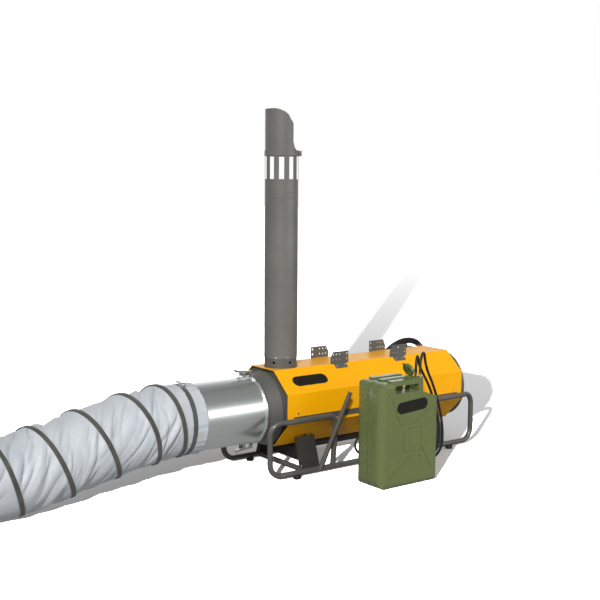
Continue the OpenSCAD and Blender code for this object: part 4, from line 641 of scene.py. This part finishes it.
# The cuff is gathered a little under its strap and has a turned hem with its stitched line at its edge
CUFF_END, CUFF_FADE, CUFF_FULL, GATHER_WIDE = 100, 20, 1.2, 14
HEM_U, HEM_WIDE, HEM_HIGH = 4, 4, 1.2
STITCH_U, STITCH_WIDE, STITCH_DEEP = 22, 2.0, 0.5
gather = 0.9 * np.sin(aa * 23 + 2 * np.sin(aa * 3)) + 0.6 * np.sin(aa * 37 + 1)
cuff = smooth((CUFF_END - uu) / CUFF_FADE)
radius = radius + cuff * (CUFF_FULL + gather * 0.8) * (1 - np.exp(-(((uu - STRAP_U) / GATHER_WIDE) ** 2)))
hem = HEM_HIGH * np.exp(-(((uu - HEM_U) / HEM_WIDE) ** 2))
radius = radius + hem - STITCH_DEEP * np.exp(-(((uu - STITCH_U) / STITCH_WIDE) ** 2))
body_rows = duct_point(uu, aa, radius)

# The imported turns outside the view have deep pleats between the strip's turns
RINGS_PER_PLEAT, PLEAT_DEEP = 12, 62
pu = np.linspace(STRETCHED, LENGTH, PACKED * RINGS_PER_PLEAT + 1)[1:]
pu, pa = np.meshgrid(pu, angles, indexing="ij")
turned = turn_of(pu, pa)
pleat = np.floor(turned)
part = turned - pleat
fold = 1 - np.abs(2 * part - 1)
uneven = 1 + 0.10 * np.sin(3 * pa + 1.7 * pleat) + 0.06 * np.sin(11 * pa + 0.9 * pleat)
fade = smooth((pu - STRETCHED) / FADE_LONG) * smooth((LENGTH - pu) / FADE_SHORT)
pr = DUCT_R - PLEAT_DEEP * np.power(fold, 0.8) * uneven * fade + 0.7 * np.sin(47 * pa + 3 * part) * fade
rows = np.concatenate([body_rows, duct_point(pu, pa, pr)])
rows[..., 2] = np.maximum(rows[..., 2], FLOOR_GAP)
duct = piece(
    "duct_cloth_tube",
    at(rows.reshape(-1, 3)),
    grid_faces(len(rows), len(angles)),
    "duct_cloth",
)
CLOTH_THICK = 0.0009
thick = duct.modifiers.new("cloth", "SOLIDIFY")
thick.thickness = CLOTH_THICK
thick.offset = -1

# Section of a strip in shares of half its width and of its height
STRIP_SECTION = [(-1, 0.2), (-0.97, 0.7), (-0.86, 1), (-0.3, 0.93), (0.3, 0.93)]
STRIP_SECTION += [(0.86, 1), (0.97, 0.7), (1, 0.2), (0.9, 0), (-0.9, 0)]


def band(name, us, a_s, low, high, wide):
    """A flat strip with rounded edges that follows the duct, with rings at distances us and angles a_s."""
    rings = []
    for p, q in STRIP_SECTION:
        rings.append(duct_point(us + p * wide / 2, a_s, low + (high - low) * q))
    v = np.stack(rings, 1)
    n, m = v.shape[:2]
    faces = grid_faces(n, m)
    faces += [tuple(range(m)), tuple(reversed(range((n - 1) * m, n * m)))]
    return piece(name, at(v.reshape(-1, 3)), faces, "duct_strip")


# The wear strip starts where the source's does, and lies on the cloth
SOURCE_STEPS, STEPS, LIFT, STRIP_MORE = 24, 60, 0.15, 0.5
turns0 = round((KNEE + (START - KNEE_U) / FIRST_PITCH) * SOURCE_STEPS) / SOURCE_STEPS
turns1 = WHOLE + PACKED - STRIP / PACKED_PITCH
turns = np.linspace(turns0, turns1, int((turns1 - turns0) * STEPS))
su = strip_u(turns)
waver = 0.5 * np.sin(turns * 17.3) + 0.4 * np.sin(turns * 41.1 + 1)
inner = fabric_r(su + STRIP / 2) + LIFT
outer = inner + STRIP_HIGH + STRIP_MORE + 0.15 * waver
helix = band("duct_wear_strip", su, -TAU * turns, inner, outer, STRIP)
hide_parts("duct_spiral")

# The strap's band is open for a little at its ears
STRAP_GAP, STRAP_RINGS = 0.02, 150
sa = np.linspace(STRAP_GAP, TAU - STRAP_GAP, STRAP_RINGS) + STRAP_TURN
strap_low = CUFF_R + 0.25 + 0.25 * np.sin(sa * 9)
strap_top = np.full_like(sa, CUFF_R + STRAP_HIGH)
strap = band("duct_strap_band", np.full_like(sa, STRAP_U), sa, strap_low, strap_top, STRAP_WIDE)


def box_mesh(lo, hi, bevel):
    """Vertices and faces of a box with bevelled edges, in source millimetres."""
    bm = bmesh.new()
    bmesh.ops.create_cube(bm, size=1)
    for v in bm.verts:
        v.co = [lo[i] + (v.co[i] + 0.5) * (hi[i] - lo[i]) for i in range(3)]
    bmesh.ops.bevel(bm, geom=bm.edges[:], offset=bevel, segments=2, affect="EDGES")
    bm.verts.index_update()
    v = [list(x.co) for x in bm.verts]
    f = [[x.index for x in face.verts] for face in bm.faces]
    bm.free()
    return v, f


def round_mesh(a, b, radius, sides):
    """Vertices and faces of a round bar between two points, with its end edges broken."""
    a, b = np.array(a, float), np.array(b, float)
    d = (b - a) / np.linalg.norm(b - a)
    side = np.cross(d, [0, 0, 1] if abs(d[2]) < 0.9 else [1, 0, 0])
    side /= np.linalg.norm(side)
    other = np.cross(d, side)
    rings = []
    e = radius * 0.12
    turn = np.linspace(0, TAU, sides, endpoint=False)
    for p, k in ((a, 1 - e / radius), (a + d * e * 0.5, 1), (b - d * e * 0.5, 1), (b, 1 - e / radius)):
        rings.append([p + radius * k * (math.cos(x) * side + math.sin(x) * other) for x in turn])
    v = np.array(rings).reshape(-1, 3)
    f = grid_faces(4, sides) + [tuple(range(sides)), tuple(range(3 * sides, 4 * sides))]
    return v.tolist(), [list(x) for x in f]


def joined(parts):
    """One list of vertices and one of faces from several."""
    v, f = [], []
    for pv, pf in parts:
        f += [[i + len(v) for i in face] for face in pf]
        v += [list(p) for p in pv]
    return v, f


def on_strap(v):
    """Points over the cuff's axis, turned with the strap towards the near side and brought to it."""
    v = np.array(v, float)
    y, z = v[:, 1].copy(), v[:, 2].copy()
    v[:, 1] = y * math.cos(STRAP_TURN) - z * math.sin(STRAP_TURN)
    v[:, 2] = y * math.sin(STRAP_TURN) + z * math.cos(STRAP_TURN) + AXIS
    v[:, 0] += CUFF_X - STRAP_U
    return v


# The strap's steel ears on their plate, and the pin between them
EAR_OUT, EAR_THICK, EAR_HALF, EAR_HIGH, EAR_EDGE = 13, 3, 8, 17, 0.5
PLATE_HIGH, PIN_HIGH, PIN_R, PIN_SIDES = 2.6, 12, 2.5, 20
top = CUFF_R + 0.3
ears = []
for left in (-EAR_OUT, EAR_OUT - EAR_THICK):
    ears.append(box_mesh((left, -EAR_HALF, top), (left + EAR_THICK, EAR_HALF, top + EAR_HIGH), EAR_EDGE))
ears.append(box_mesh((-EAR_OUT, -EAR_HALF, top), (EAR_OUT, EAR_HALF, top + PLATE_HIGH), EAR_EDGE))
ears.append(round_mesh((-EAR_OUT, 0, top + PIN_HIGH), (EAR_OUT, 0, top + PIN_HIGH), PIN_R, PIN_SIDES))
ear_points, ear_faces = joined(ears)
buckle = piece(
    "duct_strap_ears", at(on_strap(ear_points)), ear_faces, "zinc_plate", smoothed=False
)
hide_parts("duct_strap")
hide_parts("duct_strap")
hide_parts("duct_fabric")

# ---------------------------------------------------------------- floor, light and world

FLOOR_CORNERS = [(-40, -40, 0), (40, -40, 0), (40, 60, 0), (-40, 60, 0)]
floor = bpy.data.objects.new("floor", bpy.data.meshes.new("floor"))
floor.data.from_pydata(FLOOR_CORNERS, [], [(0, 1, 2, 3)])
scene.collection.objects.link(floor)
# To the camera the floor is white, and whiter with distance from the heater, while it keeps the shadows
FLOOR_WHITE, FLOOR_BOUNCE = (0.93, 0.93, 0.93, 1), (0.1, 0.1, 0.1, 1)
LIFT_SLOPE, LIFT_START = 0.24, -0.1
fm = Mat("floor_white")
rays = fm.new("ShaderNodeLightPath")
seen = rays.outputs["Is Camera Ray"]
fm.set(Base_Color=fm.mix(seen, FLOOR_BOUNCE, FLOOR_WHITE), Roughness=0.7, Specular_IOR_Level=0.0)
away = fm.new("ShaderNodeVectorMath")
away.operation = "LENGTH"
fm.put(away, 0, fm.pos)
lift = fm.math("MULTIPLY_ADD", fm.math("SQRT", away.outputs["Value"]), LIFT_SLOPE, LIFT_START)
lift = fm.math("MAXIMUM", lift, 0.0)
fm.set(Emission_Color=(1, 1, 1, 1), Emission_Strength=fm.math("MULTIPLY", seen, lift))
floor.data.materials.append(fm.m)

world = bpy.data.worlds.new("studio")
scene.world = world
world.use_nodes = True
wt = world.node_tree
background = wt.nodes["Background"]
paths = wt.nodes.new("ShaderNodeLightPath")
direct = wt.nodes.new("ShaderNodeTexCoord").outputs["Generated"]


def world_range(value, lo, hi, a, b):
    """The value, brought smoothly from between lo and hi to between a and b."""
    n = wt.nodes.new("ShaderNodeMapRange")
    n.interpolation_type = "SMOOTHSTEP"
    wt.links.new(value, n.inputs[0])
    for k, x in zip(range(1, 5), (lo, hi, a, b)):
        n.inputs[k].default_value = x
    return n.outputs[0]


def world_math(operation, a, b):
    """A Math node of two outputs."""
    n = wt.nodes.new("ShaderNodeMath")
    n.operation = operation
    wt.links.new(a, n.inputs[0])
    wt.links.new(b, n.inputs[1])
    return n.outputs[0]


# A white backdrop behind the heater, low down, and a dim studio round it
BACKDROP_SIDE, BACKDROP = (0.6, 0.8, 0.0), 0.75
STUDIO_LOW, STUDIO_HIGH = 0.32, 0.22
split = wt.nodes.new("ShaderNodeSeparateXYZ")
wt.links.new(direct, split.inputs[0])
toward = wt.nodes.new("ShaderNodeVectorMath")
toward.operation = "DOT_PRODUCT"
wt.links.new(direct, toward.inputs[0])
toward.inputs[1].default_value = BACKDROP_SIDE
backdrop = world_math(
    "MULTIPLY",
    world_range(toward.outputs["Value"], 0.25, 0.85, 0.0, BACKDROP),
    world_range(split.outputs["Z"], 0.2, 0.75, 1.0, 0.0),
)
level = world_math("ADD", backdrop, world_range(split.outputs["Z"], 0.0, 0.9, STUDIO_LOW, STUDIO_HIGH))
seen = world_math("MAXIMUM", paths.outputs["Is Camera Ray"], paths.outputs["Is Transmission Ray"])
fill = wt.nodes.new("ShaderNodeMix")
fill.data_type = "RGBA"
wt.links.new(seen, fill.inputs[0])
wt.links.new(level, fill.inputs[6])
fill.inputs[7].default_value = (1, 1, 1, 1)
wt.links.new(fill.outputs[2], background.inputs["Color"])
background.inputs["Strength"].default_value = 1.0


def aimed(direction):
    """The turn of a lamp that shines along a direction."""
    return Vector(direction).to_track_quat("-Z", "Y").to_euler()


def linked(name, data, state):
    """A lamp that lights only the floor, or everything but the floor."""
    o = bpy.data.objects.new(name, data)
    scene.collection.objects.link(o)
    lit = bpy.data.collections.new(name + "_lit")
    lit.objects.link(floor)
    lit.collection_objects[0].light_linking.link_state = state
    o.light_linking.receiver_collection = lit
    return o


# The key light from the left front
KEY_POWER, KEY_SOFT, KEY_DIRECTION = 2.9, 6, (0.56, 0.62, -0.52)
key = bpy.data.lights.new("key", "SUN")
key.energy = KEY_POWER
key.angle = math.radians(KEY_SOFT)
linked("key", key, "EXCLUDE").rotation_euler = aimed(KEY_DIRECTION)

# The floor's lamp stands near and low, and doesn't fade with distance, so its shadows fan out
LOW_POWER, LOW_SIZE, LOW_SPOT = 280, 0.06, (-3.32, -3.5, 1.9)
low = bpy.data.lights.new("low_key", "POINT")
low.energy = LOW_POWER
low.shadow_soft_size = LOW_SIZE
low.use_nodes = True
falloff = low.node_tree.nodes.new("ShaderNodeLightFalloff")
falloff.inputs["Strength"].default_value = 1.0
low.node_tree.links.new(falloff.outputs["Constant"], low.node_tree.nodes["Emission"].inputs["Strength"])
linked("low_key", low, "INCLUDE").location = LOW_SPOT

# A wide soft box in front, seen as the bright band along the adapter
BOX_POWER, BOX_SIZE, BOX_SPOT, BOX_AIM = 24, (3.0, 1.1), (2.3, -2.9, 1.25), (0.0, 0.1, 0.35)
box = bpy.data.lights.new("band_box", "AREA")
box.shape = "RECTANGLE"
box.size, box.size_y = BOX_SIZE
box.energy = BOX_POWER
box_lamp = bpy.data.objects.new("band_box", box)
scene.collection.objects.link(box_lamp)
box_lamp.location = BOX_SPOT
box_lamp.rotation_euler = aimed(Vector(BOX_AIM) - Vector(BOX_SPOT))
